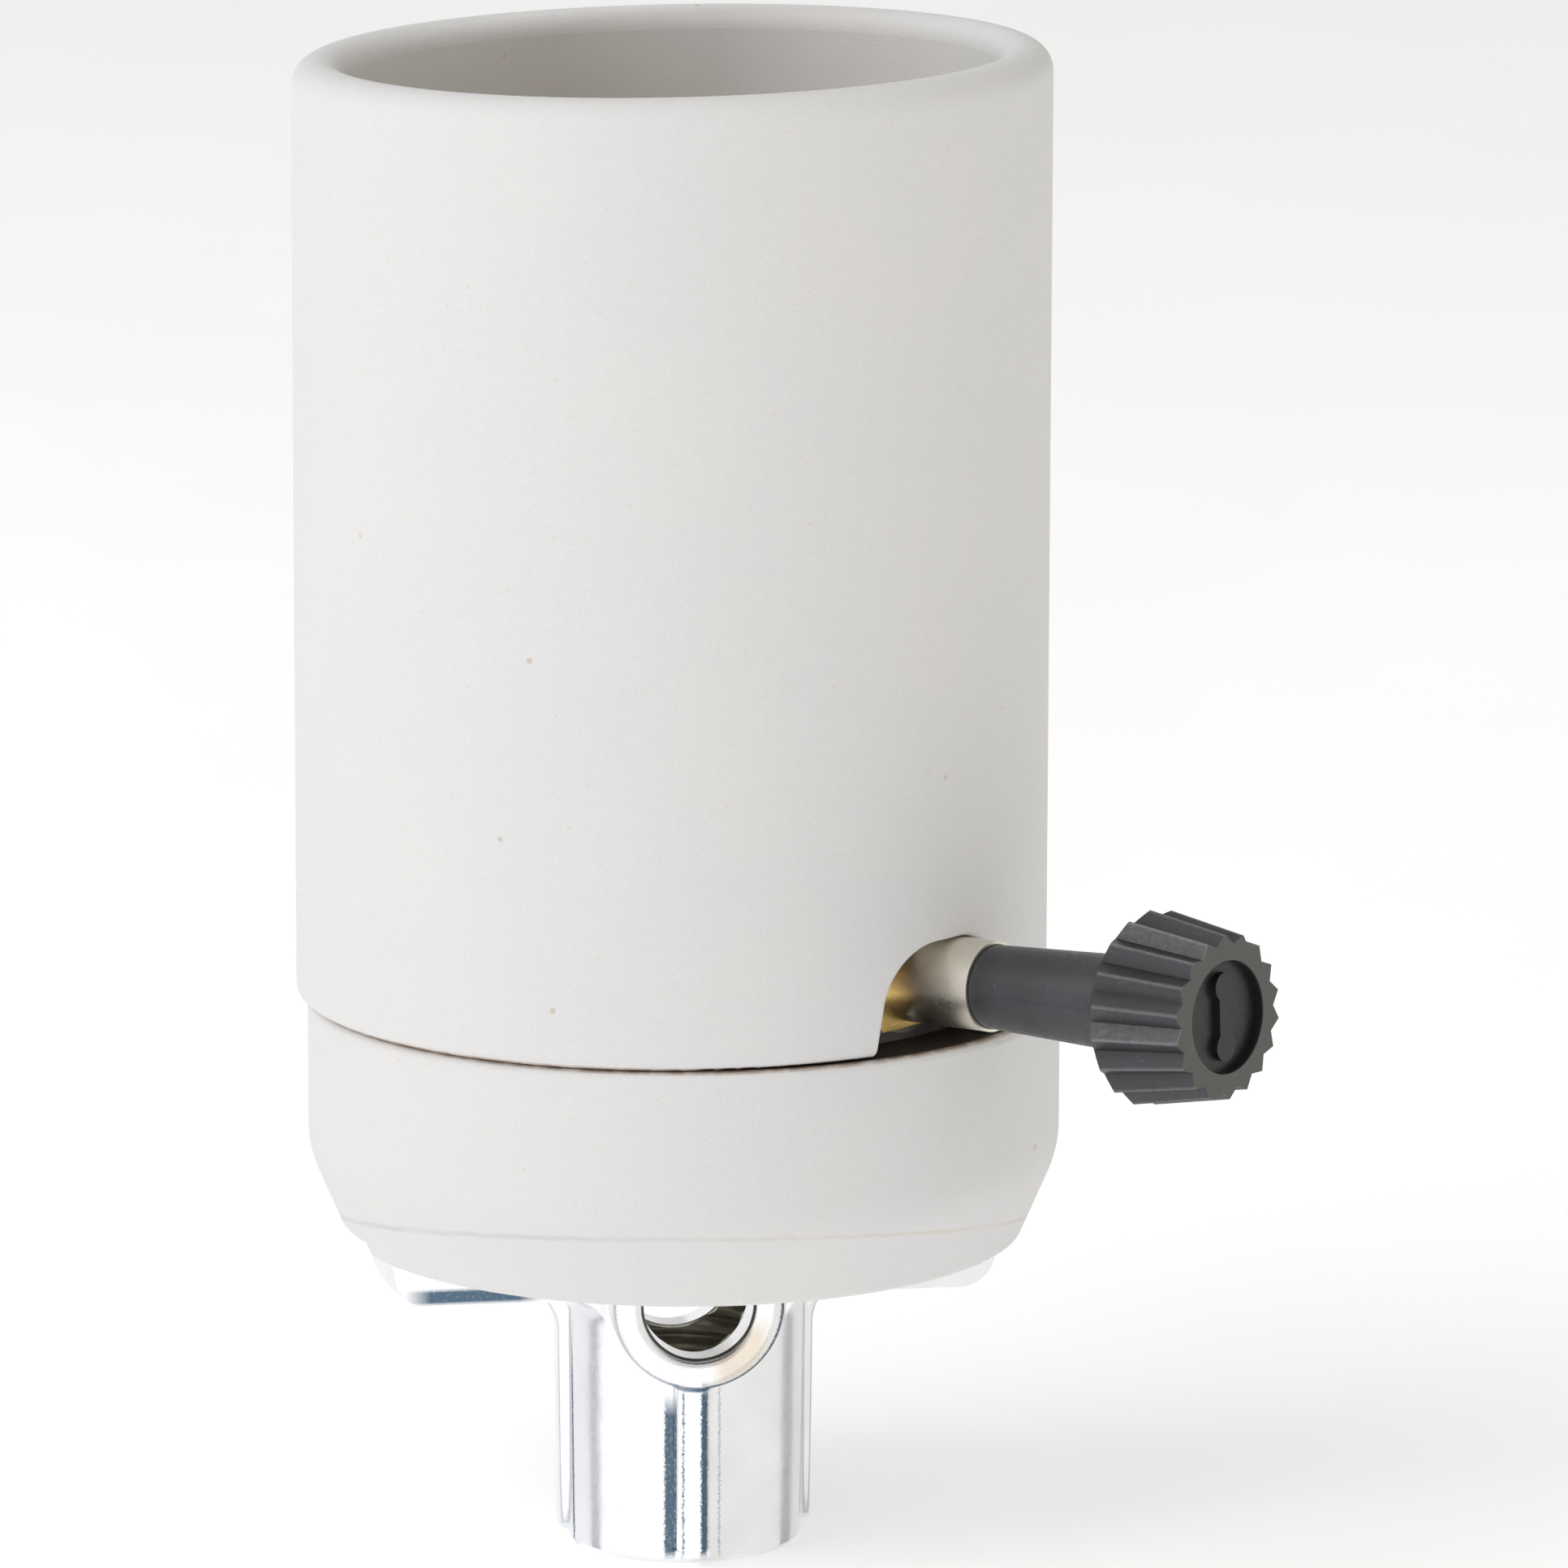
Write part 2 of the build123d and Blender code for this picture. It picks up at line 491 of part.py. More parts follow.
def contact_barrel():
    """Guide of the centre contact, flanged on the shelf and flared over the load strap."""
    barrel = disc(BARREL_R, BARREL_FLARE_Z, BARREL_TOP_Z)
    barrel += disc(BUTTON_R, SHELF_TOP_Z, DISC_TOP_Z)
    barrel += disc(BARREL_R + BARREL_FLARE, BARREL_FLARE_Z, LOAD_STRAP_Z)
    return SHELL_AXIS * (barrel - disc(STEM_R + RUNNING_GAP, BARREL_FLARE_Z, BARREL_TOP_Z))


def centre_contact():
    """Sprung plunger with a domed button."""
    button = disc(BUTTON_R, CONTACT_TOP_Z - BUTTON_THICKNESS, CONTACT_TOP_Z)
    button = fillet(button.edges().filter_by(GeomType.CIRCLE).sort_by(Axis.Z)[-1], BUTTON_ROUND)
    stem = disc(STEM_R, STEM_TIP_Z, CONTACT_TOP_Z - BUTTON_THICKNESS)
    stem -= disc(STEM_R, *GROOVE_Z) - disc(STEM_R - GROOVE_DEPTH, *GROOVE_Z)
    return SHELL_AXIS * (button + stem)


def contact_retainer():
    """Open ring in the stem's groove that stops the plunger against the barrel."""
    low, high = GROOVE_Z[0] + RUNNING_GAP, GROOVE_Z[1] - RUNNING_GAP
    ring = disc(RETAINER_R, low, high) - disc(STEM_R - GROOVE_DEPTH, low, high)
    half_gap = RETAINER_R / 4
    return SHELL_AXIS * (ring - block(0, RETAINER_R + 1, -half_gap, half_gap, low, high))


def contact_spring():
    """Coil spring between the barrel's flange and the button."""
    low = DISC_TOP_Z + SPRING_WIRE_R + 0.02
    high = CONTACT_TOP_Z - BUTTON_THICKNESS - SPRING_WIRE_R - 0.02
    path = Helix(pitch=(high - low) / SPRING_TURNS, height=high - low, radius=SPRING_R)
    section = Plane(origin=path @ 0, z_dir=path % 0) * Circle(SPRING_WIRE_R)
    return SHELL_AXIS * Pos(0, 0, low) * sweep(section, path=path)


# ---- terminals under the shelf ------------------------------------------------------------------
TERMINAL_INNER_R = 11.0
TERMINAL_OUTER_R = 20.0
TERMINAL_HALF_WIDTH = 3.8
TERMINAL_TAB_Z = 45.2
TERMINAL_SCREW_RADIUS = 16.2
TERMINAL_SCREW_R = 1.7
TERMINAL_SCREW_HEAD = (3.6, 2.0)
TERMINAL_SCREW_LENGTH = 4.2
SHELF_SCREW_R = 1.4       # small screws through the shelf
SHELF_HEAD_R = 2.6
SHELF_HEAD_Z = 58.4
SHELF_HEAD_HEIGHT = 1.6
FRAME_SCREW_TIP_Z = 51.8
LINE_SCREW_TIP_Z = 52.4
FRAME_SCREW_X = (9.6, 17.6)
LINE_SCREW_RADIUS = 17.0


def shelf_screw_places():
    """Plan positions of the two switch frame screws and the line terminal's screw."""
    return [polar(r, KNOB_ANGLE) for r in FRAME_SCREW_X] + [polar(LINE_SCREW_RADIUS, TERMINAL_ANGLE_LINE)]


def terminal(angle, hole_radius, hole_r):
    """Z-shaped strip: foot under the shelf, leg, and a tab for the wire screw."""
    w = TERMINAL_HALF_WIDTH
    strip = block(TERMINAL_INNER_R, TERMINAL_OUTER_R, -w, w, SHELF_BOTTOM_Z - STRIP, SHELF_BOTTOM_Z)
    strip += block(TERMINAL_INNER_R, TERMINAL_INNER_R + STRIP, -w, w, TERMINAL_TAB_Z, SHELF_BOTTOM_Z)
    strip += block(TERMINAL_INNER_R, TERMINAL_OUTER_R, -w, w, TERMINAL_TAB_Z, TERMINAL_TAB_Z + STRIP)
    strip -= disc(hole_r, SHELF_BOTTOM_Z - 2, SHELF_BOTTOM_Z, hole_radius)
    strip -= disc(TERMINAL_SCREW_R, TERMINAL_TAB_Z - 1, TERMINAL_TAB_Z + 2, TERMINAL_SCREW_RADIUS)
    return SHELL_AXIS * Rot(0, 0, angle) * strip


def terminal_screw(angle):
    """Binding screw, head down."""
    screw = pan_screw(TERMINAL_SCREW_R, *TERMINAL_SCREW_HEAD, TERMINAL_TAB_Z,
                      TERMINAL_TAB_Z + TERMINAL_SCREW_LENGTH, TERMINAL_SCREW_RADIUS, 0, up=-1)
    return SHELL_AXIS * Rot(0, 0, angle) * screw


def line_terminal():
    return terminal(TERMINAL_ANGLE_LINE, LINE_SCREW_RADIUS, SHELF_SCREW_R)


def neutral_terminal():
    return terminal(TERMINAL_ANGLE_NEUTRAL, SHELL_SCREW_RADIUS, SHELL_SCREW_R)


def shelf_screw(tip_z, x, y):
    face_z = SHELF_HEAD_Z + SHELF_HEAD_HEIGHT
    screw = disc(SHELF_SCREW_R, tip_z, face_z, x, y)
    screw += disc(SHELF_HEAD_R, SHELF_HEAD_Z, face_z, x, y)
    reach = SHELF_HEAD_R + 1
    return screw - block(x - reach, x + reach, y - SCREW_SLOT_HALF, y + SCREW_SLOT_HALF,
                         face_z - SCREW_SLOT_DEPTH, face_z)


def frame_screws():
    """Screws through the shelf into the switch frame."""
    return group([shelf_screw(FRAME_SCREW_TIP_Z, x, y) for x, y in shelf_screw_places()[:2]], SHELL_AXIS)


def line_terminal_fixing():
    x, y = shelf_screw_places()[2]
    return SHELL_AXIS * shelf_screw(LINE_SCREW_TIP_Z, x, y)


# ---- switch, drawn with X along the spindle and Z square to it ----------------------------------
FRAME_HALF_WIDTH = 5.4
FRAME_FRONT_X = 22.9
FRAME_BACK_X = 5.4
FRAME_TOP = 9.6
FRAME_BOTTOM = -3.4
BUSHING_FLARE = 0.9
CLIP_R = 2.8
CLIP_THICKNESS = 0.5
CLIP_GROOVE_DEPTH = 0.4
BUSHING_R = 3.2
BUSHING_MOUTH_DEPTH = 0.8  # counterbore that the knob's stem runs into
BUSHING_END_X = 30.0
KNOB_GAP = 0.15           # between the stem's end and the counterbore's floor
ROTOR_X = (9.5, 17.0)
ROTOR_R = 4.7
ROTOR_CONTACT_R = 5.3
ROTOR_CONTACT_HALF = 2.9
CAM_FLAT = 3.95           # from the spindle's axis to each flat of the index cam
CONTACT_GAP = 0.35        # between the rotor's swept circle and the leaves
LEAF = 0.5
LEAF_Z = (-1.6, 2.8)      # height of both contact leaves, from the spindle's axis
SPRING_LEAF = 0.35
LOAD_LEG_HALF = 2.2
RIVET_R = 1.1
CAM_X = (14.2, 17.0)
KNOB_STEM_R = 2.95        # at the bushing
KNOB_NECK_R = 3.45        # where the stem meets the head
KNOB_HEAD_X = 43.2
KNOB_FACE_X = 50.7
KNOB_REAR_R = 7.0         # over the teeth, at the head's rear
KNOB_FRONT_R = 5.75       # and at its face
KNOB_REAR_BEVEL = (0.9, 1.2)    # along the spindle and across it
KNOB_TEETH = 18
TOOTH_DEPTH = 0.83        # at the head's rear
KNOB_RECESS_R = 3.95
KNOB_RECESS_DEPTH = 0.7
POINTER_HALF_WIDTH = 0.6   # plain bar in the recess, with a round boss at each end
POINTER_BOSS_Z = 2.1
POINTER_BOSS_R = 1.0
SPINDLE_END_X = 46.5


def switch_frame():
    """Brass bridge under the shelf: a front plate, a rear plate and the web between them."""
    w = FRAME_HALF_WIDTH
    front = block(FRAME_FRONT_X - STRIP, FRAME_FRONT_X, -w, w, FRAME_BOTTOM, FRAME_TOP)
    corners = front.edges().filter_by(Axis.X).group_by(Axis.Z)[0]
    front = chamfer(corners, 1.6)
    rear = block(FRAME_BACK_X, FRAME_BACK_X + STRIP, -w, w, FRAME_BOTTOM, FRAME_TOP)
    web = block(FRAME_BACK_X, FRAME_FRONT_X, -w, w, FRAME_TOP - STRIP, FRAME_TOP)
    frame = front + rear + web
    frame -= rod(BUSHING_R, FRAME_FRONT_X - 2, FRAME_FRONT_X + 1)
    frame -= rod(SPINDLE_R + RUNNING_GAP, FRAME_BACK_X - 1, FRAME_BACK_X + 2)
    frame = SWITCH_AXIS * frame
    for x, y in shelf_screw_places()[:2]:
        frame -= SHELL_AXIS * disc(SHELF_SCREW_R, SHELF_BOTTOM_Z - 4, SHELF_BOTTOM_Z, x, y)
    return frame


def spindle_bushing():
    """Plated sleeve, flared behind the frame's front plate and counterbored for the knob's stem."""
    back = FRAME_FRONT_X - STRIP
    sleeve = rod(BUSHING_R, back - BUSHING_FLARE, BUSHING_END_X)
    sleeve += rod(BUSHING_R + BUSHING_FLARE, back - BUSHING_FLARE, back)
    sleeve -= rod(SPINDLE_R + RUNNING_GAP, back - 2 * BUSHING_FLARE, BUSHING_END_X + 1)
    sleeve -= rod(KNOB_STEM_R + RUNNING_GAP, BUSHING_END_X - BUSHING_MOUTH_DEPTH, BUSHING_END_X)
    return SWITCH_AXIS * sleeve


def spindle():
    """Turned rod from the rear plate to the knob, grooved for its clip and flat in the knob."""
    bar = rod(SPINDLE_R, FRAME_BACK_X - 1.6, SPINDLE_END_X)
    low, high = clip_ends()
    groove = rod(SPINDLE_R, low - RUNNING_GAP, high + RUNNING_GAP)
    bar -= groove - rod(SPINDLE_R - CLIP_GROOVE_DEPTH, low - 1, high + 1)
    return SWITCH_AXIS * (bar - spindle_flat())


def clip_ends():
    """The clip's two faces along the spindle, just behind the rear plate."""
    high = FRAME_BACK_X - 0.4
    return high - CLIP_THICKNESS, high


def spindle_flat():
    """Flat that keys the spindle to the knob."""
    return block(BUSHING_END_X + 3, SPINDLE_END_X, -SPINDLE_R, SPINDLE_R, SPINDLE_R - 0.5, SPINDLE_R)


def spindle_clip():
    """Open ring that keeps the spindle in the rear plate."""
    low, high = clip_ends()
    ring = rod(CLIP_R, low, high) - rod(SPINDLE_R - CLIP_GROOVE_DEPTH, low, high)
    half_gap = CLIP_R / 4
    return SWITCH_AXIS * (ring - block(low, high, -half_gap, half_gap, -CLIP_R, 0))


def rotor_contact_shape():
    """Plate through the rotor, pierced for the spindle, with a curved pad at each end."""
    x0, x1 = ROTOR_X[0] + 0.8, CAM_X[0] - 0.8
    middle = (x0 + x1) / 2
    pads = rod(ROTOR_CONTACT_R, x0, x1) - rod(ROTOR_R, x0, x1)
    half = ROTOR_CONTACT_HALF
    plate = block(middle - 0.5, middle + 0.5, -ROTOR_CONTACT_R, ROTOR_CONTACT_R, -half, half)
    plate -= rod(SPINDLE_R + 0.5, x0, x1)
    bridge = pads + (plate & rod(ROTOR_R + 0.3, x0, x1))
    bridge &= block(x0, x1, -ROTOR_CONTACT_R, ROTOR_CONTACT_R, -half, half)
    return Rot(90, 0, 0) * bridge


def rotor():
    """Moulded barrel with a four-sided index cam at its knob end."""
    barrel = rod(ROTOR_R, ROTOR_X[0], CAM_X[0])
    cam = block(*CAM_X, -CAM_FLAT, CAM_FLAT, -CAM_FLAT, CAM_FLAT) & rod(ROTOR_R, *CAM_X)
    body = barrel + cam - rod(SPINDLE_R, ROTOR_X[0], CAM_X[1])
    return SWITCH_AXIS * (body - rotor_contact_shape())


def rotor_contact():
    return SWITCH_AXIS * rotor_contact_shape()


def index_spring():
    """Leaf across the cam that gives the switch its click, hung from the web."""
    low = ROTOR_R + CONTACT_GAP
    x0, x1 = CAM_X[0] + 0.4, CAM_X[1] - 0.4
    half = FRAME_HALF_WIDTH - 0.9
    leaf = block(x0, x1, -half, half, low, low + SPRING_LEAF)
    leaf += block(x0, x1, -half, -half + SPRING_LEAF, low, FRAME_TOP - STRIP)
    leaf += block(x0, x1, half - SPRING_LEAF, half, low, low + 1.2)
    leaf += block(x0, x1, -half, -half + 1.6, FRAME_TOP - STRIP - SPRING_LEAF, FRAME_TOP - STRIP)
    return SWITCH_AXIS * leaf


def leaf_face():
    """Distance of a contact leaf's middle from the spindle's axis."""
    return ROTOR_CONTACT_R + CONTACT_GAP + LEAF / 2


def line_contact():
    """Bronze leaf from the line terminal's leg round to the rotor."""
    face = leaf_face()
    leg_x = -TERMINAL_INNER_R + LEAF / 2
    route = [(leg_x, -2.6), (leg_x, 4.2), (-4.5, 8.2), (3.0, 8.2), (9.6, face), (13.2, face)]
    leaf = bent_strip(route, LEAF, *[z + SPINDLE_Z for z in LEAF_Z])
    return SHELL_AXIS * Rot(0, 0, KNOB_ANGLE) * leaf


def line_contact_rivet():
    """Rivet of the leaf through the line terminal's leg."""
    z = TERMINAL_TAB_Z + STRIP / 2
    x0 = -TERMINAL_INNER_R + LEAF
    rivet = rod(RIVET_R, x0, x0 + 0.5, -1.6, z)
    return SHELL_AXIS * Rot(0, 0, KNOB_ANGLE) * rivet


def load_contact():
    """Strap from the centre contact's barrel, down to a leaf on the rotor's other side."""
    face = leaf_face()
    turn = -8.6
    ring = disc(BARREL_R + 1.3, LOAD_STRAP_Z, SHELF_BOTTOM_Z)
    half = LOAD_LEG_HALF
    ring += block(-half, half, turn, 0, LOAD_STRAP_Z, SHELF_BOTTOM_Z)
    ring -= disc(BARREL_R, LOAD_STRAP_Z, SHELF_BOTTOM_Z)
    leg = block(-half, half, turn - LEAF / 2, turn + LEAF / 2, SPINDLE_Z + LEAF_Z[0], SHELF_BOTTOM_Z)
    route = [(2.0, turn), (4.0, turn), (9.6, -face), (13.2, -face)]
    leaf = bent_strip(route, LEAF, *[z + SPINDLE_Z for z in LEAF_Z])
    return SHELL_AXIS * Rot(0, 0, KNOB_ANGLE) * (ring + leg + leaf)


def toothed_face(x, tip_r):
    """Outline of the knob's V-shaped teeth at one station, with a groove on each side axis."""
    points = []
    for i in range(2 * KNOB_TEETH):
        radius = tip_r - (TOOTH_DEPTH * tip_r / KNOB_REAR_R if i % 2 else 0)
        points.append(polar(radius, 180 * (i + 1) / KNOB_TEETH))
    return Plane.YZ.offset(x) * make_face(Polyline(*points, close=True))


def knob_start():
    """The stem's inner end along the spindle."""
    return BUSHING_END_X - BUSHING_MOUTH_DEPTH + KNOB_GAP


def knob_stem():
    """Round stem, straight in the bushing and swelling towards the head."""
    start, end = knob_start(), KNOB_HEAD_X + 0.5
    outline = Polyline((start, 0), (start, KNOB_STEM_R), (BUSHING_END_X, KNOB_STEM_R), (end, KNOB_NECK_R),
                       (end, 0), close=True)
    return revolve(make_face(outline), axis=Axis.X)


def turn_knob():
    """Moulded knob with a toothed, tapered head and a plain pointer bar in its recess."""
    slope = (KNOB_REAR_R - KNOB_FRONT_R) / (KNOB_FACE_X - KNOB_HEAD_X)
    head = loft([toothed_face(KNOB_HEAD_X, KNOB_REAR_R), toothed_face(KNOB_FACE_X, KNOB_FRONT_R)],
                ruled=True)
    along, across = KNOB_REAR_BEVEL
    rear = Polyline((KNOB_HEAD_X, 0), (KNOB_HEAD_X, KNOB_REAR_R - across),
                    (KNOB_HEAD_X + along, KNOB_REAR_R - along * slope), (KNOB_FACE_X, KNOB_FRONT_R),
                    (KNOB_FACE_X, 0), (KNOB_HEAD_X, 0))
    head &= revolve(make_face(rear), axis=Axis.X)
    knob = knob_stem() + head
    floor_x = KNOB_FACE_X - KNOB_RECESS_DEPTH
    knob -= rod(KNOB_RECESS_R, floor_x, KNOB_FACE_X)
    low, high = floor_x - 0.2, KNOB_FACE_X - 0.2
    half = POINTER_HALF_WIDTH
    knob += block(low, high, -half, half, -POINTER_BOSS_Z, POINTER_BOSS_Z)
    for z in (-POINTER_BOSS_Z, POINTER_BOSS_Z):
        knob += rod(POINTER_BOSS_R, low, high, z=z)
    bore = rod(SPINDLE_R, knob_start(), SPINDLE_END_X) - spindle_flat()
    return SWITCH_AXIS * (knob - bore)


# ---- write every node ---------------------------------------------------------------------------
NODES = {
    "upper_shell": upper_shell,
    "base_body": base_body,
    "cap": cap,
    "cap_set_screw": cap_set_screw,
    "assembly_screws": assembly_screws,
    "assembly_nuts": assembly_nuts,
    "insulating_disc": insulating_disc,
    "screw_shell": screw_shell,
    "shell_screws": shell_screws,
    "shell_screw_nut": shell_screw_nut,
    "contact_barrel": contact_barrel,
    "centre_contact": centre_contact,
    "contact_retainer": contact_retainer,
    "contact_spring": contact_spring,
    "load_contact": load_contact,
    "line_terminal": line_terminal,
    "line_terminal_screw": lambda: terminal_screw(TERMINAL_ANGLE_LINE),
    "line_terminal_fixing": line_terminal_fixing,
    "line_contact": line_contact,
    "line_contact_rivet": line_contact_rivet,
    "neutral_terminal": neutral_terminal,
    "neutral_terminal_screw": lambda: terminal_screw(TERMINAL_ANGLE_NEUTRAL),
    "switch_frame": switch_frame,
    "frame_screws": frame_screws,
    "spindle_bushing": spindle_bushing,
    "spindle": spindle,
    "spindle_clip": spindle_clip,
    "rotor": rotor,
    "rotor_contact": rotor_contact,
    "index_spring": index_spring,
    "turn_knob": turn_knob,
}


os.makedirs("parts", exist_ok=True)
for name, build in NODES.items():
    export_step(build(), f"parts/{name}.step")
    print(name)
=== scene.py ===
"""Porcelain heat lamp socket: surfaces, threads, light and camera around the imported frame."""
import json
import math

import bpy
import bmesh
from mathutils import Matrix, Vector


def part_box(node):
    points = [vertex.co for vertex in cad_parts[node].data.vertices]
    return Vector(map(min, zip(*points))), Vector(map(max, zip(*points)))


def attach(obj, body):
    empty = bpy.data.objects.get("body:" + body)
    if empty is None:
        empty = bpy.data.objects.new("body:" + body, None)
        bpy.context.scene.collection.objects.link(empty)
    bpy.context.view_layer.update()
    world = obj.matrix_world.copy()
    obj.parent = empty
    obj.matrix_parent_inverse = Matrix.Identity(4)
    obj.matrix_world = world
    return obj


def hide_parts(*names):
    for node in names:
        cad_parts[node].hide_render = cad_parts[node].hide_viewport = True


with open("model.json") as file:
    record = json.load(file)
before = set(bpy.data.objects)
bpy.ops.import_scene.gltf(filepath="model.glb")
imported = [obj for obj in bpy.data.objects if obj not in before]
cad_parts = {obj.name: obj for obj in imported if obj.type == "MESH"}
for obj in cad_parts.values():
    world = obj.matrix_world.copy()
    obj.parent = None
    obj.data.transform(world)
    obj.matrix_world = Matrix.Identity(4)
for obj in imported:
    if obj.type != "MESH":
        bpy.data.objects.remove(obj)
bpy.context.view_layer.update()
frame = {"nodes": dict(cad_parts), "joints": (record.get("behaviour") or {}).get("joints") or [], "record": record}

MM = 0.001
NODES = frame["nodes"]

# ---- places and sizes, from the frame -----------------------------------------------------------
MOUNTS = {mount["name"]: mount for mount in frame["record"]["mounts"]}
JOINTS = {joint["name"]: joint for joint in frame["joints"]}

SEAM_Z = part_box("upper_shell")[0].z / MM     # foot of the shell, in millimetres
PIPE_ROOT_R = MOUNTS["pipe_thread"]["dims"]["r_mm"] * MM
LAMP_ROOT_R = MOUNTS["lamp_thread"]["dims"]["r_mm"] * MM
KNOB_ORIGIN = Vector(JOINTS["knob_turn"]["pos_m"])
KNOB_AXIS = Vector(JOINTS["knob_turn"]["axis"]).normalized()
KNOB_ACROSS = KNOB_AXIS.cross(Vector((0, 0, 1))).normalized()
KNOB_UP = KNOB_ACROSS.cross(KNOB_AXIS)

# ---- places of marks, in millimetres, and in degrees about Z from +X ----------------------------
WINDOW_ANGLE = -92.0        # of the front window
WINDOW_RIB_ANGLE = -95.0    # of the rib below it
FRONT_WINDOW_Z = 19.2
BACK_WINDOW_Z = 17.7

MOUTH_LOW_Z = 90.0          # painted shade darkens the inside of the mouth above it
MOUTH_WALL_R = 24.0         # between the mouth's inner wall and the outer wall
SEAM_HALF = 0.10            # half height of the dirt and of the painted shadow in the seam
BASE_TOP_R = 26.4           # painted shadow makes the base's top nearly black inside it
FAR_SIDE = 81.0             # the side away from the camera
CREASE_Z = 24.1             # fold above the base's chamfer, where it crosses the sides
CREASE_SLOPE = 0.169        # and its rise towards the camera

RIB_END_Z = 12.6            # the painted reflections on the window's rib end about there
RIB_FLANK = 0.86            # painted dark reflection on the flank, across from the rib's middle
RIB_ROOT = -1.55
RIB_HAIRS = -0.66, 2.0
SIDE_RIB_ROOT_Y = -1.9
RING_BEAD_R = 6.08          # from the window's centre
RING_TINT_R = 4.9
ARM_EDGE_X, ARM_EDGE_Z = -16.0, 19.7

KNOB_HEAD_X, KNOB_FACE_X = 43.2, 50.7    # along the spindle
HEAD_REAR_R, HEAD_TAPER = 7.0, 0.167     # over the teeth, and its fall towards the face
KNOB_RECESS_R = 4.0


# ---- node-tree helpers --------------------------------------------------------------------------
class Surface:
    """A material under construction: add nodes, link them, read coordinates in millimetres."""

    def __init__(self, name):
        self.material = bpy.data.materials.new(name)
        self.material.use_nodes = True
        self.tree = self.material.node_tree
        self.tree.nodes.clear()
        self.shader = self.add("ShaderNodeBsdfPrincipled")
        output = self.add("ShaderNodeOutputMaterial")
        self.link(self.shader.outputs["BSDF"], output.inputs["Surface"])
        place = self.add("ShaderNodeTexCoord")
        scale = self.add("ShaderNodeMapping")
        scale.inputs["Scale"].default_value = (1 / MM, 1 / MM, 1 / MM)
        self.link(place.outputs["Object"], scale.inputs["Vector"])
        self.mm = scale.outputs["Vector"]

    def add(self, kind, **values):
        node = self.tree.nodes.new(kind)
        for key, value in values.items():
            setattr(node, key, value)
        return node

    def link(self, source, target):
        self.tree.links.new(source, target)

    def feed(self, socket, value):
        """Link an output, or set a plain number or colour."""
        if isinstance(value, bpy.types.NodeSocket):
            self.link(value, socket)
        else:
            socket.default_value = value

    def set(self, **values):
        """Constants on the shader's own sockets."""
        for key, value in values.items():
            self.shader.inputs[key].default_value = value

    def noise(self, scale, detail=4.0, roughness=0.5, vector=None, distortion=0.0):
        node = self.add("ShaderNodeTexNoise")
        node.inputs["Scale"].default_value = scale
        node.inputs["Detail"].default_value = detail
        node.inputs["Roughness"].default_value = roughness
        node.inputs["Distortion"].default_value = distortion
        self.link(vector or self.mm, node.inputs["Vector"])
        return node.outputs["Fac"]

    def cells(self, scale, vector=None):
        node = self.add("ShaderNodeTexVoronoi")
        node.inputs["Scale"].default_value = scale
        self.link(vector or self.mm, node.inputs["Vector"])
        return node.outputs["Distance"]

    def stretched(self, x, y, z):
        """Coordinates in millimetres, scaled along each axis."""
        node = self.add("ShaderNodeMapping")
        node.inputs["Scale"].default_value = (x, y, z)
        self.link(self.mm, node.inputs["Vector"])
        return node.outputs["Vector"]

    def ramp(self, value, *stops):
        """Colours or greys at rising positions."""
        node = self.add("ShaderNodeValToRGB")
        elements = node.color_ramp.elements
        while len(elements) < len(stops):
            elements.new(0.5)
        for element, (place, colour) in zip(elements, stops):
            element.position = place
            element.color = colour if len(colour) == 4 else (*colour, 1.0)
        self.link(value, node.inputs["Fac"])
        return node.outputs["Color"]

    def spread(self, value, low, high, out_low=0.0, out_high=1.0):
        """Remap a value from one range to another, clamped."""
        node = self.add("ShaderNodeMapRange", clamp=True)
        numbers = {"From Min": low, "From Max": high, "To Min": out_low, "To Max": out_high}
        for name, number in numbers.items():
            node.inputs[name].default_value = number
        self.link(value, node.inputs["Value"])
        return node.outputs["Result"]

    def math(self, operation, a, b=0.5):
        node = self.add("ShaderNodeMath", operation=operation)
        self.feed(node.inputs[0], a)
        self.feed(node.inputs[1], b)
        return node.outputs[0]

    def mix(self, factor, a, b, blend="MIX"):
        node = self.add("ShaderNodeMix", data_type="RGBA", blend_type=blend)
        self.feed(node.inputs["Factor"], factor)
        self.feed(node.inputs[6], a if isinstance(a, bpy.types.NodeSocket) else (*a, 1.0))
        self.feed(node.inputs[7], b if isinstance(b, bpy.types.NodeSocket) else (*b, 1.0))
        return node.outputs[2]

    def separate(self, vector):
        node = self.add("ShaderNodeSeparateXYZ")
        self.link(vector, node.inputs[0])
        return node.outputs

    def band(self, value, centre, half, soft):
        """One within a distance of a value, falling to nothing over a soft edge."""
        away = self.math("ABSOLUTE", self.math("SUBTRACT", value, centre))
        return self.spread(away, half, half + soft, 1.0, 0.0)

    def product(self, *values):
        """Values multiplied together."""
        result = values[0]
        for value in values[1:]:
            result = self.math("MULTIPLY", result, value)
        return result

    def largest(self, *values):
        """The highest of the values."""
        result = values[0]
        for value in values[1:]:
            result = self.math("MAXIMUM", result, value)
        return result

    def radius(self, a, b):
        """Distance of a point from an axis, from two square coordinates."""
        squares = self.math("MULTIPLY", a, a), self.math("MULTIPLY", b, b)
        return self.math("SQRT", self.math("ADD", *squares))

    def offset(self, origin, heading):
        """Distance from a point along a heading, in millimetres."""
        node = self.add("ShaderNodeVectorMath", operation="DOT_PRODUCT")
        self.link(self.mm, node.inputs[0])
        node.inputs[1].default_value = heading
        return self.math("SUBTRACT", node.outputs["Value"], origin.dot(heading) / MM)

    def along(self, degrees):
        """Level distance from the Z axis towards an angle about it, in millimetres."""
        a = math.radians(degrees)
        return self.offset(Vector((0, 0, 0)), Vector((math.cos(a), math.sin(a), 0)))

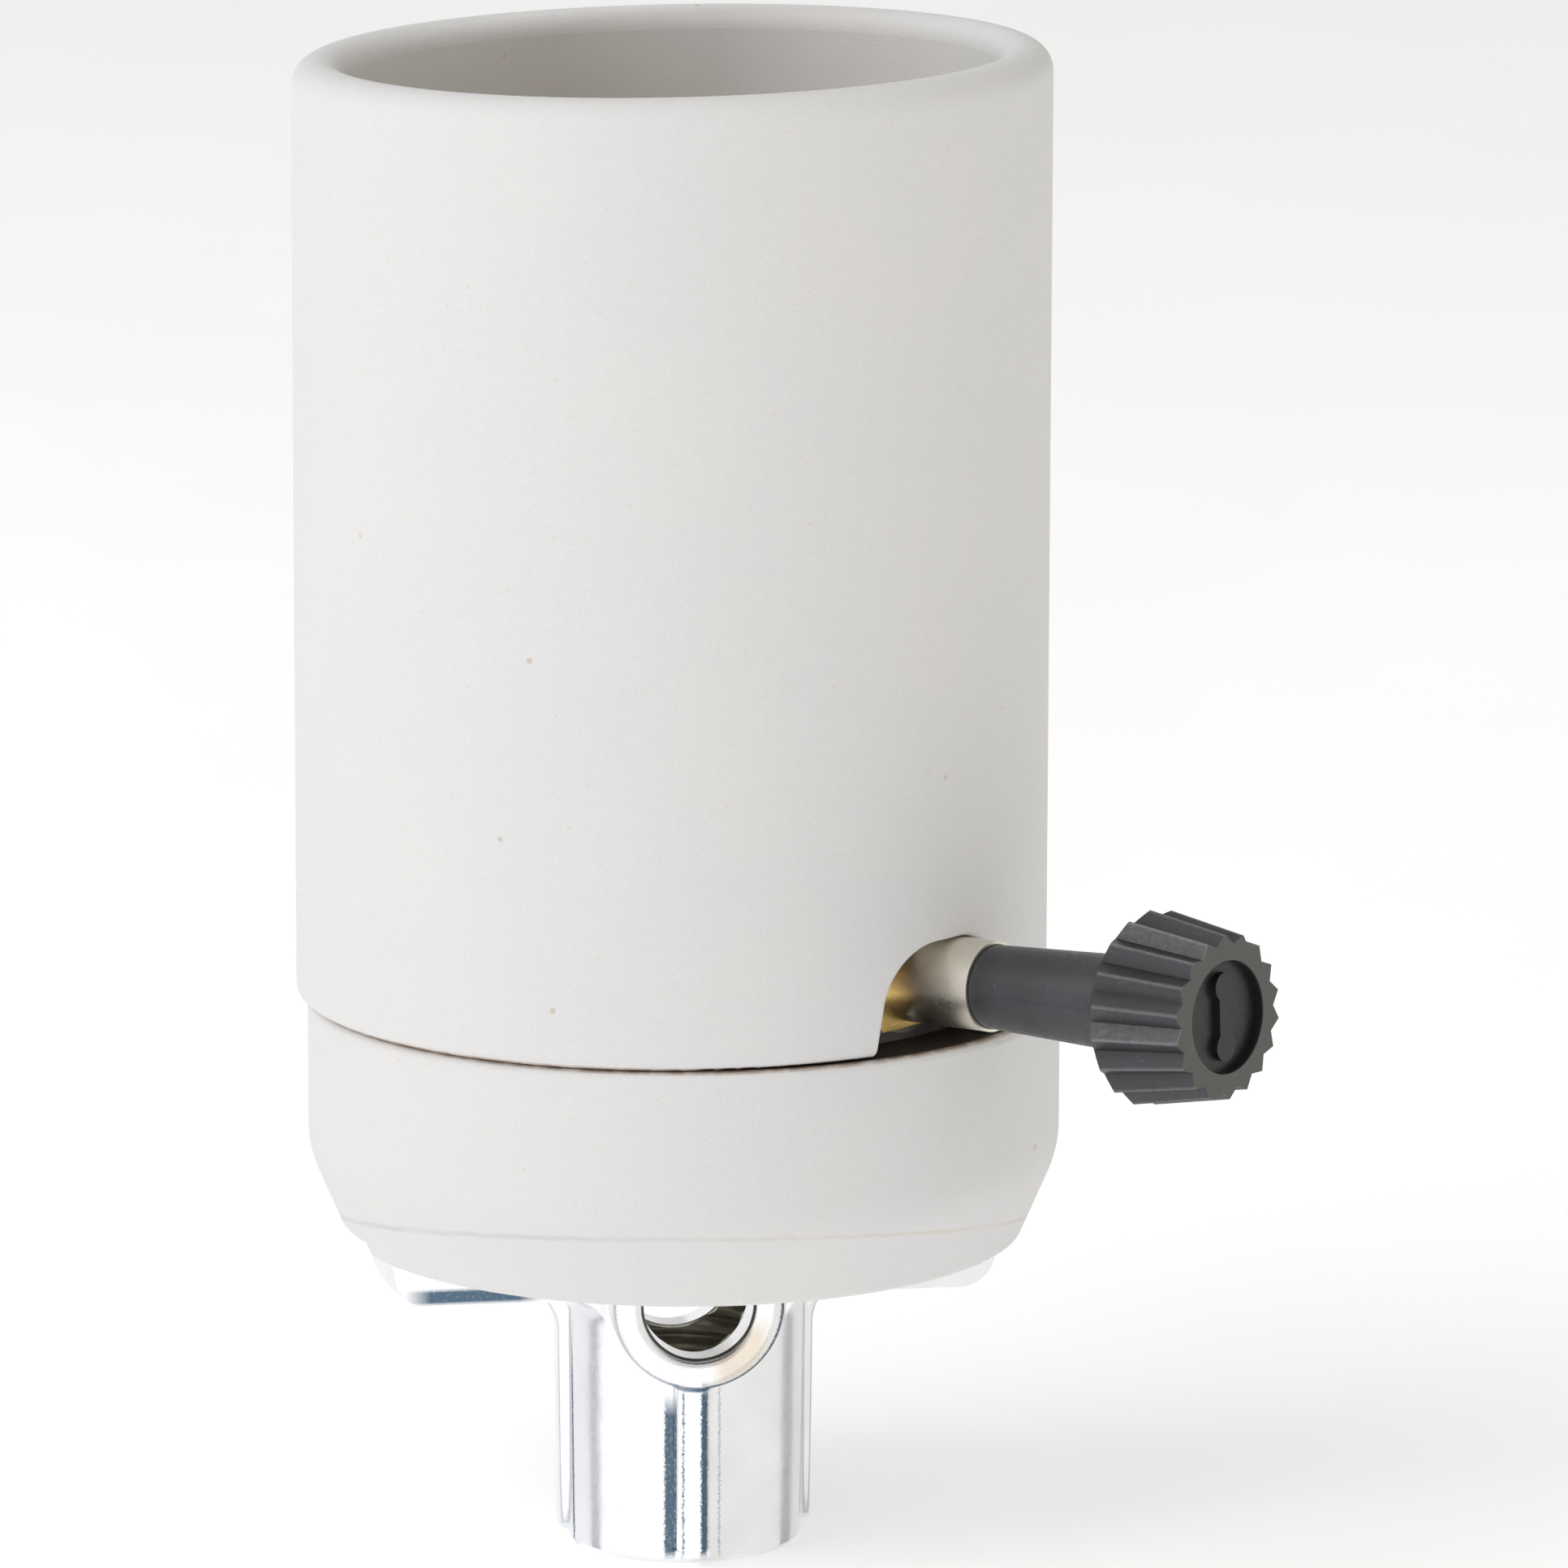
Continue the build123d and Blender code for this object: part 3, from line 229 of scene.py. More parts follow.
    def bump(self, height, strength, depth_mm, below=None):
        """Surface relief of a given depth, laid over relief below it."""
        node = self.add("ShaderNodeBump")
        node.inputs["Strength"].default_value = strength
        node.inputs["Distance"].default_value = depth_mm * MM
        self.link(height, node.inputs["Height"])
        if below is not None:
            self.link(below, node.inputs["Normal"])
        return node.outputs["Normal"]

    def colour(self, value):
        self.feed(self.shader.inputs["Base Color"], value)

    def roughness(self, value):
        self.feed(self.shader.inputs["Roughness"], value)

    def specular(self, value):
        self.shader.inputs["Specular IOR Level"].default_value = value

    def emission(self, colour, strength):
        self.feed(self.shader.inputs["Emission Color"], colour)
        self.shader.inputs["Emission Strength"].default_value = strength

    def normal(self, value):
        self.link(value, self.shader.inputs["Normal"])


# ---- materials ----------------------------------------------------------------------------------
def porcelain(name, speck_seed, crease=False):
    """Unglazed porcelain: chalky, finely grained, with pinholes, iron specks and dirt in its seam; painted shade
    inside the mouth, a painted shadow on the base's top in the seam, and with crease a painted shade line along
    the fold.
    """
    s = Surface(name)
    x, y, z = s.separate(s.mm)
    cloud = s.noise(0.07, 3.0, 0.55)
    tone = s.mix(s.spread(cloud, 0.35, 0.68), (0.745, 0.748, 0.755), (0.765, 0.757, 0.748))
    grain = s.noise(5.5, 5.0, 0.7)
    tone = s.mix(s.spread(grain, 0.38, 0.66, 0.0, 0.20), tone, (0.60, 0.59, 0.57))
    shifted = s.add("ShaderNodeMapping")
    shifted.inputs["Location"].default_value = (speck_seed, speck_seed * 0.7, speck_seed * 1.3)
    s.link(s.mm, shifted.inputs["Vector"])
    specks = s.cells(0.16, vector=shifted.outputs["Vector"])
    speck = s.spread(specks, 0.045, 0.022)
    tone = s.mix(s.product(speck, 0.55), tone, (0.52, 0.38, 0.22))
    dust = s.cells(0.55, vector=shifted.outputs["Vector"])
    fleck = s.spread(dust, 0.075, 0.035)
    tone = s.mix(s.product(fleck, 0.30), tone, (0.60, 0.52, 0.40))
    out = s.radius(x, y)
    # painted shade: the inside of the mouth, high up and towards the back, is darkened
    high_up = s.spread(z, MOUTH_LOW_Z, MOUTH_LOW_Z + 2.0)
    inward = s.spread(out, MOUTH_WALL_R + 0.4, MOUTH_WALL_R - 0.4)
    inside = s.product(high_up, s.spread(s.math("ABSOLUTE", x), 21.0, 6.0), inward, s.spread(y, 0.0, 12.0))
    tone = s.mix(s.product(inside, 0.95), tone, (0.60, 0.575, 0.565))
    patches = s.spread(s.noise(0.8, 3.0, 0.6), 0.30, 0.55, 0.35, 0.9)
    dirt = s.product(s.band(z, SEAM_Z, SEAM_HALF, 0.22), patches)
    tone = s.mix(dirt, tone, (0.30, 0.20, 0.13))
    # painted shadow: the base's top inside the seam is made nearly black
    painted_seam_shadow = s.product(s.band(z, SEAM_Z, SEAM_HALF, 0.15), s.spread(out, BASE_TOP_R + 0.3, BASE_TOP_R))
    tone = s.mix(painted_seam_shadow, tone, (0.020, 0.014, 0.010))
    s.colour(tone)
    s.roughness(s.spread(grain, 0.3, 0.7, 0.72, 0.86))
    s.set(IOR=1.5)
    s.specular(0.32)
    wave = s.noise(0.16, 2.0, 0.5)
    relief = s.bump(wave, 0.5, 0.25)
    relief = s.bump(grain, 0.7, 0.07, relief)
    pits = s.spread(s.cells(0.9), 0.0, 0.09)
    relief = s.bump(pits, 0.5, 0.05, relief)
    if crease:
        fold = s.math("ADD", z, s.math("MULTIPLY", s.along(FAR_SIDE), CREASE_SLOPE))
        edge = s.math("ADD", fold, s.math("MULTIPLY", s.noise(0.5, 2.0, 0.5), 0.3))
        # painted shade along the fold, grey on the left and browner to the right
        faint = s.spread(s.noise(0.3, 2.0, 0.5), 0.3, 0.6, 0.08, 0.32)
        line = s.product(s.band(edge, CREASE_Z, 0.05, 0.18), faint)
        fold_shade_colour = s.mix(s.spread(x, -6.0, 12.0), (0.50, 0.48, 0.46), (0.58, 0.47, 0.30))
        s.colour(s.mix(line, tone, fold_shade_colour))
        relief = s.bump(s.spread(edge, CREASE_Z - 0.25, CREASE_Z + 0.25), 0.6, 0.22, relief)
    s.normal(relief)
    return s.material


def cast_aluminium():
    """Bright die-cast aluminium: mirror-like skin, fine cast grain, painted blue-black reflections on its ribs,
    arm and ring, and a painted warm reflection inside the ring.
    """
    s = Surface("bright_cast_aluminium")
    x, y, z = s.separate(s.mm)
    fine = s.noise(4.2, 4.0, 0.65)
    broad = s.noise(0.22, 2.0, 0.5)
    tone = s.mix(s.spread(broad, 0.35, 0.7), (0.90, 0.905, 0.915), (0.84, 0.84, 0.85))
    # painted dark-blue reflections on the window rib's flank, root and hairlines, the side rib's root, the arm's
    # edge and the ring's bead; speckle roughens their edges
    speckle = s.spread(s.noise(7.0, 3.0, 0.7), 0.35, 0.65, -0.10, 0.10)
    across = s.math("ADD", s.along(WINDOW_RIB_ANGLE + 90.0), speckle)
    front = s.product(s.spread(y, -5.0, -6.5), s.spread(z, RIB_END_Z + 1.2, RIB_END_Z),
                      s.spread(z, 0.2, 0.9))
    flank = s.band(across, RIB_FLANK, 0.20, 0.10)
    root = s.product(s.band(across, RIB_ROOT, 0.30, 0.16), s.spread(z, RIB_END_Z, RIB_END_Z - 1.6))
    hairs = s.largest(s.band(across, RIB_HAIRS[0], 0.02, 0.07),
                      s.product(s.band(across, RIB_HAIRS[1], 0.02, 0.08), 0.5))
    side_root = s.product(s.band(s.math("ADD", y, speckle), SIDE_RIB_ROOT_Y, 0.06, 0.14),
                          s.spread(x, -6.5, -7.5), s.spread(z, 16.0, 12.0))
    over = s.math("ADD", s.along(WINDOW_ANGLE + 90.0), speckle)
    up = s.math("SUBTRACT", z, FRONT_WINDOW_Z)
    from_centre = s.radius(over, up)
    in_front = s.spread(y, -7.0, -8.0)
    lower_right = s.spread(s.math("ADD", over, s.math("MULTIPLY", up, -0.5)), -2.0, 3.0, 0.25, 1.0)
    bead = s.product(s.band(from_centre, RING_BEAD_R, 0.10, 0.16), in_front, lower_right)
    arm = s.product(s.band(z, ARM_EDGE_Z, 0.35, 0.3), s.band(x, ARM_EDGE_X, 3.2, 2.0),
                    s.spread(y, -4.0, -5.0))
    painted_reflections = s.largest(s.product(s.largest(flank, root, hairs), front), side_root, arm, bead)
    tone = s.mix(s.product(painted_reflections, s.spread(fine, 0.25, 0.45, 0.70, 1.0)), tone, (0.085, 0.135, 0.190))
    # painted warm reflection inside the ring, low on its right
    tint = s.product(s.band(from_centre, RING_TINT_R, 0.5, 0.6), in_front, s.band(over, 3.0, 1.2, 1.2),
                     s.spread(up, -0.5, -2.0))
    tone = s.mix(s.product(tint, 0.6), tone, (0.66, 0.52, 0.34))
    s.colour(tone)
    s.roughness(s.spread(fine, 0.3, 0.75, 0.14, 0.30))
    s.set(Metallic=1.0)
    relief = s.bump(broad, 0.5, 0.12)
    relief = s.bump(fine, 0.5, 0.012, relief)
    pores = s.spread(s.cells(1.3), 0.0, 0.07)
    relief = s.bump(pores, 0.5, 0.03, relief)
    s.normal(relief)
    return s.material


def metal(name, light, dark, low, high, brush=(1.0, 1.0, 1.0), relief_mm=0.006):
    """Sheet or turned metal with a rolling or turning grain along one direction."""
    s = Surface(name)
    grain = s.noise(3.0, 4.0, 0.6, vector=s.stretched(*brush))
    tarnish = s.noise(0.35, 3.0, 0.6)
    s.colour(s.mix(s.spread(tarnish, 0.35, 0.7), light, dark))
    wear = s.math("ADD", s.math("MULTIPLY", grain, 0.5), s.math("MULTIPLY", tarnish, 0.5))
    s.roughness(s.spread(wear, 0.35, 0.65, low, high))
    s.set(Metallic=1.0)
    s.normal(s.bump(grain, 0.5, relief_mm))
    return s.material


def knob_plastic():
    """Charcoal moulded plastic: satin skin with scuffs, a painted highlight on the teeth and painted shade in the
    grooves and recess.
    """
    s = Surface("charcoal_moulded_plastic")
    skin = s.noise(2.6, 4.0, 0.6)
    flow = s.noise(0.3, 3.0, 0.6)
    base = s.mix(s.spread(flow, 0.3, 0.7), (0.019, 0.020, 0.024), (0.031, 0.032, 0.039))
    scuff = s.spread(s.noise(1.1, 5.0, 0.75), 0.60, 0.74)
    tone = s.mix(s.product(scuff, 0.5), base, (0.12, 0.12, 0.135))
    along, side, rise = (s.offset(KNOB_ORIGIN, heading) for heading in (KNOB_AXIS, KNOB_ACROSS, KNOB_UP))
    off_axis = s.radius(side, rise)
    head = s.spread(along, KNOB_HEAD_X - 0.3, KNOB_HEAD_X + 0.3)
    tips = s.math("SUBTRACT", HEAD_REAR_R, s.product(s.math("SUBTRACT", along, KNOB_HEAD_X), HEAD_TAPER))
    depth = s.math("ADD", s.math("SUBTRACT", tips, off_axis), s.math("MULTIPLY", skin, 0.12))
    behind_face = s.spread(along, KNOB_FACE_X - 0.05, KNOB_FACE_X - 0.2)
    # painted shade in the grooves between the teeth, and a painted highlight on their tips
    painted_groove_shade = s.product(s.spread(depth, 0.45, 0.85), head, behind_face)
    painted_tooth_highlight = s.product(s.spread(depth, 0.22, 0.06), head)
    tone = s.mix(s.product(painted_groove_shade, 0.85), tone, (0.004, 0.004, 0.005))
    tone = s.mix(s.product(painted_tooth_highlight, 0.7), tone, (0.17, 0.165, 0.175))
    ring = s.product(s.spread(along, KNOB_FACE_X - 0.15, KNOB_FACE_X - 0.05),
                     s.spread(off_axis, KNOB_RECESS_R - 0.1, KNOB_RECESS_R))
    tone = s.mix(s.product(ring, 0.6), tone, (0.105, 0.098, 0.085))
    # painted shade on the recess floor, deeper on one side
    recess = s.product(s.spread(along, KNOB_FACE_X - 0.1, KNOB_FACE_X - 0.3),
                       s.spread(off_axis, KNOB_RECESS_R + 0.05, KNOB_RECESS_R - 0.05),
                       s.spread(along, KNOB_FACE_X - 1.2, KNOB_FACE_X - 1.0))
    floor = s.product(recess, s.spread(along, KNOB_FACE_X - 0.3, KNOB_FACE_X - 0.5))
    tone = s.mix(s.product(floor, s.spread(side, 1.4, -0.6, 0.2, 0.9)), tone, (0.006, 0.007, 0.008))
    s.colour(tone)
    s.roughness(s.spread(skin, 0.3, 0.7, 0.30, 0.48))
    s.set(IOR=1.52)
    s.specular(0.55)
    relief = s.bump(flow, 0.4, 0.08)
    s.normal(s.bump(skin, 0.5, 0.012, relief))
    return s.material


def fibre():
    """Vulcanised fibre board, oxblood brown with pressed fibres."""
    s = Surface("vulcanised_fibre")
    strands = s.noise(1.6, 5.0, 0.7, vector=s.stretched(0.35, 1.6, 1.0), distortion=0.6)
    s.colour(s.ramp(strands, (0.30, (0.16, 0.055, 0.035)), (0.55, (0.25, 0.09, 0.055)),
                    (0.75, (0.33, 0.14, 0.085))))
    s.roughness(s.spread(strands, 0.3, 0.7, 0.55, 0.78))
    s.normal(s.bump(strands, 0.5, 0.03))
    return s.material


def phenolic():
    """Dark moulded phenolic of the rotor."""
    s = Surface("moulded_phenolic")
    fleck = s.noise(3.5, 5.0, 0.7)
    s.colour(s.ramp(fleck, (0.35, (0.030, 0.018, 0.014)), (0.7, (0.075, 0.045, 0.034))))
    s.roughness(s.spread(fleck, 0.3, 0.7, 0.34, 0.52))
    s.normal(s.bump(fleck, 0.4, 0.01))
    return s.material


def bore_aluminium():
    """The same casting inside its bore: cut thread, dulled and oily."""
    s = Surface("cut_bore_aluminium")
    streak = s.noise(1.4, 4.0, 0.6, vector=s.stretched(0.5, 0.5, 3.0))
    s.colour(s.mix(s.spread(streak, 0.35, 0.7), (0.56, 0.54, 0.44), (0.36, 0.35, 0.28)))
    s.roughness(s.spread(streak, 0.3, 0.7, 0.38, 0.56))
    s.set(Metallic=0.8)
    s.normal(s.bump(streak, 0.5, 0.02))
    return s.material


def floor_surface():
    """Plain pale studio table, lit a little from below."""
    s = Surface("pale_floor")
    s.colour(s.mix(s.spread(s.noise(0.02, 2.0, 0.5), 0.3, 0.7), (0.93, 0.93, 0.93), (0.95, 0.95, 0.95)))
    s.roughness(0.9)
    s.specular(0.1)
    s.emission((1, 1, 1, 1), 0.30)
    return s.material


MATERIALS = {
    "porcelain": porcelain("unglazed_porcelain", 3.0),
    "base": porcelain("unglazed_porcelain_base", 7.0, crease=True),
    "cast_aluminium": cast_aluminium(),
    "plated_steel": metal("zinc_plated_steel", (0.72, 0.73, 0.75), (0.58, 0.59, 0.62), 0.24, 0.42),
    "spring_steel": metal("blued_spring_steel", (0.40, 0.41, 0.44), (0.28, 0.28, 0.31), 0.25, 0.42),
    "brass": metal("rolled_brass", (0.83, 0.60, 0.24), (0.66, 0.42, 0.14), 0.22, 0.40, (0.3, 0.3, 2.0)),
    "lamp_shell_brass": metal("drawn_shell_brass", (0.86, 0.74, 0.48), (0.76, 0.60, 0.34), 0.20, 0.36),
    "bronze_leaf": metal("phosphor_bronze", (0.76, 0.46, 0.26), (0.60, 0.34, 0.18), 0.22, 0.38),
    "nickel_plate": metal("nickel_plate", (0.84, 0.80, 0.72), (0.77, 0.72, 0.62), 0.26, 0.36,
                          relief_mm=0.003),
    "fibre": fibre(),
    "moulded_phenolic": phenolic(),
    "knob_plastic": knob_plastic(),
    "bore": bore_aluminium(),
}


def dress_frame():
    """Give every CAD node the surface of its slot."""
    for part in frame["record"]["subparts"]:
        mesh = NODES[part["node"]].data
        mesh.materials.clear()
        mesh.materials.append(MATERIALS["base" if part["node"] == "base_body" else part["material_slot"]])


# ---- pieces -------------------------------------------------------------------------------------
def piece(name, mesh, slot, body="socket"):
    """A new piece with its material, riding on a body."""
    obj = bpy.data.objects.new(name, mesh)
    bpy.context.scene.collection.objects.link(obj)
    mesh.materials.clear()
    mesh.materials.append(MATERIALS[slot])
    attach(obj, body)
    return obj


def mesh_from(name, vertices, faces, smooth=True):
    mesh = bpy.data.meshes.new(name)
    mesh.from_pydata(vertices, [], faces)
    mesh.validate()
    if smooth:
        mesh.shade_smooth()
    mesh.update()
    return mesh


def ring_of_loops(loop, count):
    """Vertices and faces of a closed band: loop(angle) gives one closed section, repeated round Z."""
    vertices = []
    for i in range(count):
        vertices += loop(math.tau * i / count)
    size = len(vertices) // count
    faces = []
    for i in range(count):
        here, there = i * size, (i + 1) % count * size
        for j in range(size):
            k = (j + 1) % size
            faces.append((here + j, there + j, there + k, here + k))
    return vertices, faces


# ---- screw shell: rolled E39 thread over its floor ring -----------------------------------------
SHEET = 0.6 * MM
LAMP_PITCH = 6.35 * MM
LAMP_DEPTH = 1.45 * MM      # from the thread's root to its crest
FLOOR_HOLE_R = 11.5 * MM
DRAWN_CORNER_R = 0.8 * MM
THREAD_FADE = 4.0 * MM      # height over which the thread starts
FADE_AT_TOP = 0.4           # share of that height over which it ends
WALL_STEPS = 92
CORNER_STEPS = 5
SHELL_SECTIONS = 160


def lamp_thread_radius(angle, z, low, high):
    """Inside radius of the rolled thread; it fades out at both ends."""
    fade = min(1.0, max(0.0, (z - low) / THREAD_FADE), max(0.0, (high - z) / (FADE_AT_TOP * THREAD_FADE)))
    fade = fade * fade * (3 - 2 * fade)
    wave = 0.5 - 0.5 * math.cos(math.tau * z / LAMP_PITCH - angle)
    return LAMP_ROOT_R - LAMP_DEPTH * fade * wave


def screw_shell():
    """The drawn shell that grips the lamp: floor ring, rounded corner and threaded wall."""
    low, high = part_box("screw_shell")
    centre = (low + high) / 2
    mount = MOUNTS["lamp_thread"]
    top = mount["pos_m"][2]
    bottom = top - mount["dims"]["length_mm"] * MM
    floor = low.z + SHEET
    corner_r = LAMP_ROOT_R - SHEET - DRAWN_CORNER_R
    wall = floor + DRAWN_CORNER_R
    heights = [wall + (top - wall) * i / WALL_STEPS for i in range(WALL_STEPS + 1)]

    def wall_radius(angle, z):
        return min(lamp_thread_radius(angle, z, bottom, top), LAMP_ROOT_R - SHEET * (z < bottom))

    def section(angle):
        inner = [(FLOOR_HOLE_R, floor), (corner_r, floor)]
        for i in range(1, CORNER_STEPS):
            turn = math.radians(90 * i / CORNER_STEPS)
            inner.append((corner_r + DRAWN_CORNER_R * math.sin(turn),
                          floor + DRAWN_CORNER_R * (1 - math.cos(turn))))
        inner += [(wall_radius(angle, z), z) for z in heights]
        outer = [(wall_radius(angle, z) + SHEET, z) for z in reversed(heights)]
        sweep = DRAWN_CORNER_R + SHEET
        for i in range(CORNER_STEPS - 1, 0, -1):
            turn = math.radians(90 * i / CORNER_STEPS)
            outer.append((corner_r + sweep * math.sin(turn), low.z + sweep * (1 - math.cos(turn))))
        outer += [(corner_r, low.z), (FLOOR_HOLE_R, low.z)]
        c, q = math.cos(angle), math.sin(angle)
        return [(centre.x + r * c, centre.y + r * q, z) for r, z in inner + outer]

    vertices, faces = ring_of_loops(section, SHELL_SECTIONS)
    shell = piece("screw_shell_rolled", mesh_from("screw_shell_rolled", vertices, faces), "lamp_shell_brass")
    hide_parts("screw_shell")


# ---- pipe thread inside the neck ----------------------------------------------------------------
PIPE_PITCH = 25.4 / 18 * MM
PIPE_CREST_R = 6.15 * MM
PIPE_FLAT = 0.12            # share of the pitch that is flat at the crest, and at the root
ROOT_GAP = 0.02 * MM        # between the thread's root and the bore's wall
LINING = 0.3 * MM           # how far its back is sunk in the wall
LEAD_IN, LEAD_OUT = 0.5 * MM, 0.4 * MM
STEPS_PER_PITCH = 12
PIPE_SECTIONS = 144
WINDOW_R = 4.0 * MM
WINDOW_SIDES = 96
CUTTER_REACH = 0.5 * MM, 12 * MM


def pipe_thread_radius(angle, z):
    """60-degree thread with small flats, crest inward."""
    turn = (z / PIPE_PITCH - angle / math.tau) % 1.0
    flank = abs(2 * turn - 1)
    rise = min(1.0, max(0.0, (flank - PIPE_FLAT) / (1 - 2 * PIPE_FLAT)))
    return PIPE_CREST_R + (PIPE_ROOT_R - ROOT_GAP - PIPE_CREST_R) * rise


def cutter(angle, z):
    """A round bar through one wall of the neck, to cut its wire window."""
    heading = Vector((math.cos(math.radians(angle)), math.sin(math.radians(angle)), 0))
    across = heading.cross(Vector((0, 0, 1)))
    sides = WINDOW_SIDES
    vertices = []
    for reach in CUTTER_REACH:
        for i in range(sides):
            a = math.tau * i / sides
            place = heading * reach + across * (WINDOW_R * math.cos(a))
            vertices.append((place.x, place.y, z + WINDOW_R * math.sin(a)))
    faces = [(i, (i + 1) % sides, sides + (i + 1) % sides, sides + i) for i in range(sides)]
    faces += [tuple(range(sides - 1, -1, -1)), tuple(range(sides, 2 * sides))]
    mesh = mesh_from("cutter", vertices, faces, smooth=False)
    shape = bmesh.new()
    shape.from_mesh(mesh)
    bmesh.ops.recalc_face_normals(shape, faces=shape.faces)
    shape.to_mesh(mesh)
    shape.free()
    obj = bpy.data.objects.new("cutter", mesh)
    bpy.context.scene.collection.objects.link(obj)
    return obj


def pipe_thread():
    """Cut thread that lines the neck's bore, open at both wire windows."""
    low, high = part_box("cap")
    bottom, top = low.z + LEAD_IN, high.z - LEAD_OUT
    steps = round((top - bottom) / PIPE_PITCH * STEPS_PER_PITCH)
    heights = [bottom + (top - bottom) * i / steps for i in range(steps + 1)]
    back_r = PIPE_ROOT_R + LINING

    def section(angle):
        c, q = math.cos(angle), math.sin(angle)
        inner = [(pipe_thread_radius(angle, z), z) for z in heights]
        outer = [(back_r, top), (back_r, bottom)]
        return [(r * c, r * q, z) for r, z in inner + outer]

    vertices, faces = ring_of_loops(section, PIPE_SECTIONS)
    mesh = mesh_from("pipe_thread_cut", vertices, faces)
    lining = piece("pipe_thread_cut", mesh, "cast_aluminium")
    cutters = [cutter(WINDOW_ANGLE, FRONT_WINDOW_Z * MM), cutter(WINDOW_ANGLE + 180, BACK_WINDOW_Z * MM)]
    for tool in cutters:
        cut = lining.modifiers.new("window", "BOOLEAN")
        cut.operation = "DIFFERENCE"
        cut.solver = "EXACT"
        cut.object = tool
    graph = bpy.context.evaluated_depsgraph_get()
    lining.data = bpy.data.meshes.new_from_object(lining.evaluated_get(graph))
    lining.modifiers.clear()
    lining.data.materials.clear()
    lining.data.materials.append(MATERIALS["bore"])
    for tool in cutters:
        bpy.data.objects.remove(tool)


# ---- knob: parting line of its mould ------------------------------------------------------------
LINE_NEAR, LINE_FAR = 30.3 * MM, 43.0 * MM      # along the spindle
STEM_R, STEM_SWELL = 2.96 * MM, 0.46 * MM       # at the near end, and its growth towards the head
LINE_HALF, LINE_HEIGHT = 0.11 * MM, 0.07 * MM
LINE_SUNK = 0.05 * MM
LINE_STEPS = 24


def parting_line():
    """A fine raised line along both sides of the stem, where the mould's halves met."""
    vertices, faces = [], []
    for side in (-1, 1):
        start = len(vertices)
        for i in range(LINE_STEPS + 1):
            share = i / LINE_STEPS
            centre = KNOB_ORIGIN + KNOB_AXIS * (LINE_NEAR + (LINE_FAR - LINE_NEAR) * share)
            r = STEM_R + STEM_SWELL * share
            for offset, lift in ((-LINE_HALF, -LINE_SUNK), (0, LINE_HEIGHT), (LINE_HALF, -LINE_SUNK)):
                vertices.append(tuple(centre + KNOB_UP * offset + KNOB_ACROSS * side * (r + lift)))
        for i in range(LINE_STEPS):
            a = start + 3 * i
            quads = [(a, a + 1, a + 4, a + 3), (a + 1, a + 2, a + 5, a + 4), (a + 2, a, a + 3, a + 5)]
            faces += quads if side > 0 else [tuple(reversed(quad)) for quad in quads]
        last = start + 3 * LINE_STEPS
        faces += [(start, start + 1, start + 2), (last, last + 2, last + 1)]
    piece("knob_parting_line", mesh_from("knob_parting_line", vertices, faces), "knob_plastic", "switch")


dress_frame()
screw_shell()
pipe_thread()
parting_line()


# ---- stage, light and camera --------------------------------------------------------------------
CAMERA_AZIMUTH = -9.0      # degrees
CAMERA_DISTANCE = 0.73661  # metres
CAMERA_HEIGHT = 0.20596
CAMERA_PITCH = 11.551      # degrees down
CAMERA_YAW = 0.556         # degrees to the right of the neck's axis
CAMERA_ROLL = 0.172
CAMERA_LENS = 241.26
CAMERA_SENSOR = 36.0

FLOOR_SIZE = 6.0
LIGHT_AIM = Vector((0, 0, 0.06))
HORIZON, ZENITH = 0.86, 0.30               # brightness of the surround
HORIZON_UP, ZENITH_UP = 0.05, 0.85         # and the heights at which each is reached
COOL, WARM = (0.985, 0.99, 1.0), (1.03, 0.99, 0.93)
COOL_SIDE, WARM_SIDE = -0.4, 0.8           # from left to right, where each tint is full

NECK_WALL_R = 8.6 * MM      # the cards are worked out for walls at this distance from the neck's axis
CARD_REACH = 0.5
CARD_LIFT = Vector((0, 0, 0.0002))
CARD_HEIGHT = Vector((0, 0, 0.25))
CARD_STEPS = 12


def studio_floor():
    mesh = bpy.data.meshes.new("studio_floor")
    half = FLOOR_SIZE / 2
    corners = [(-half, -half, 0), (half, -half, 0), (half, half, 0), (-half, half, 0)]
    mesh.from_pydata(corners, [], [(0, 1, 2, 3)])
    mesh.materials.append(floor_surface())
    obj = bpy.data.objects.new("studio_floor", mesh)
    bpy.context.scene.collection.objects.link(obj)


def area_light(name, azimuth, elevation, distance, size, power, colour=(1, 1, 1)):
    """A square soft box that looks at the object."""
    light = bpy.data.lights.new(name, "AREA")
    light.size = size
    light.energy = power
    light.color = colour
    obj = bpy.data.objects.new(name, light)
    a, e = math.radians(azimuth), math.radians(elevation)
    away = Vector((math.sin(a) * math.cos(e), -math.cos(a) * math.cos(e), math.sin(e)))
    obj.location = LIGHT_AIM + distance * away
    obj.rotation_euler = (LIGHT_AIM - obj.location).to_track_quat("-Z", "Y").to_euler()
    bpy.context.scene.collection.objects.link(obj)


def direction(azimuth):
    """Level direction towards an azimuth measured from the camera's side of the object."""
    a = math.radians(azimuth + CAMERA_AZIMUTH)
    return Vector((math.sin(a), -math.cos(a), 0))


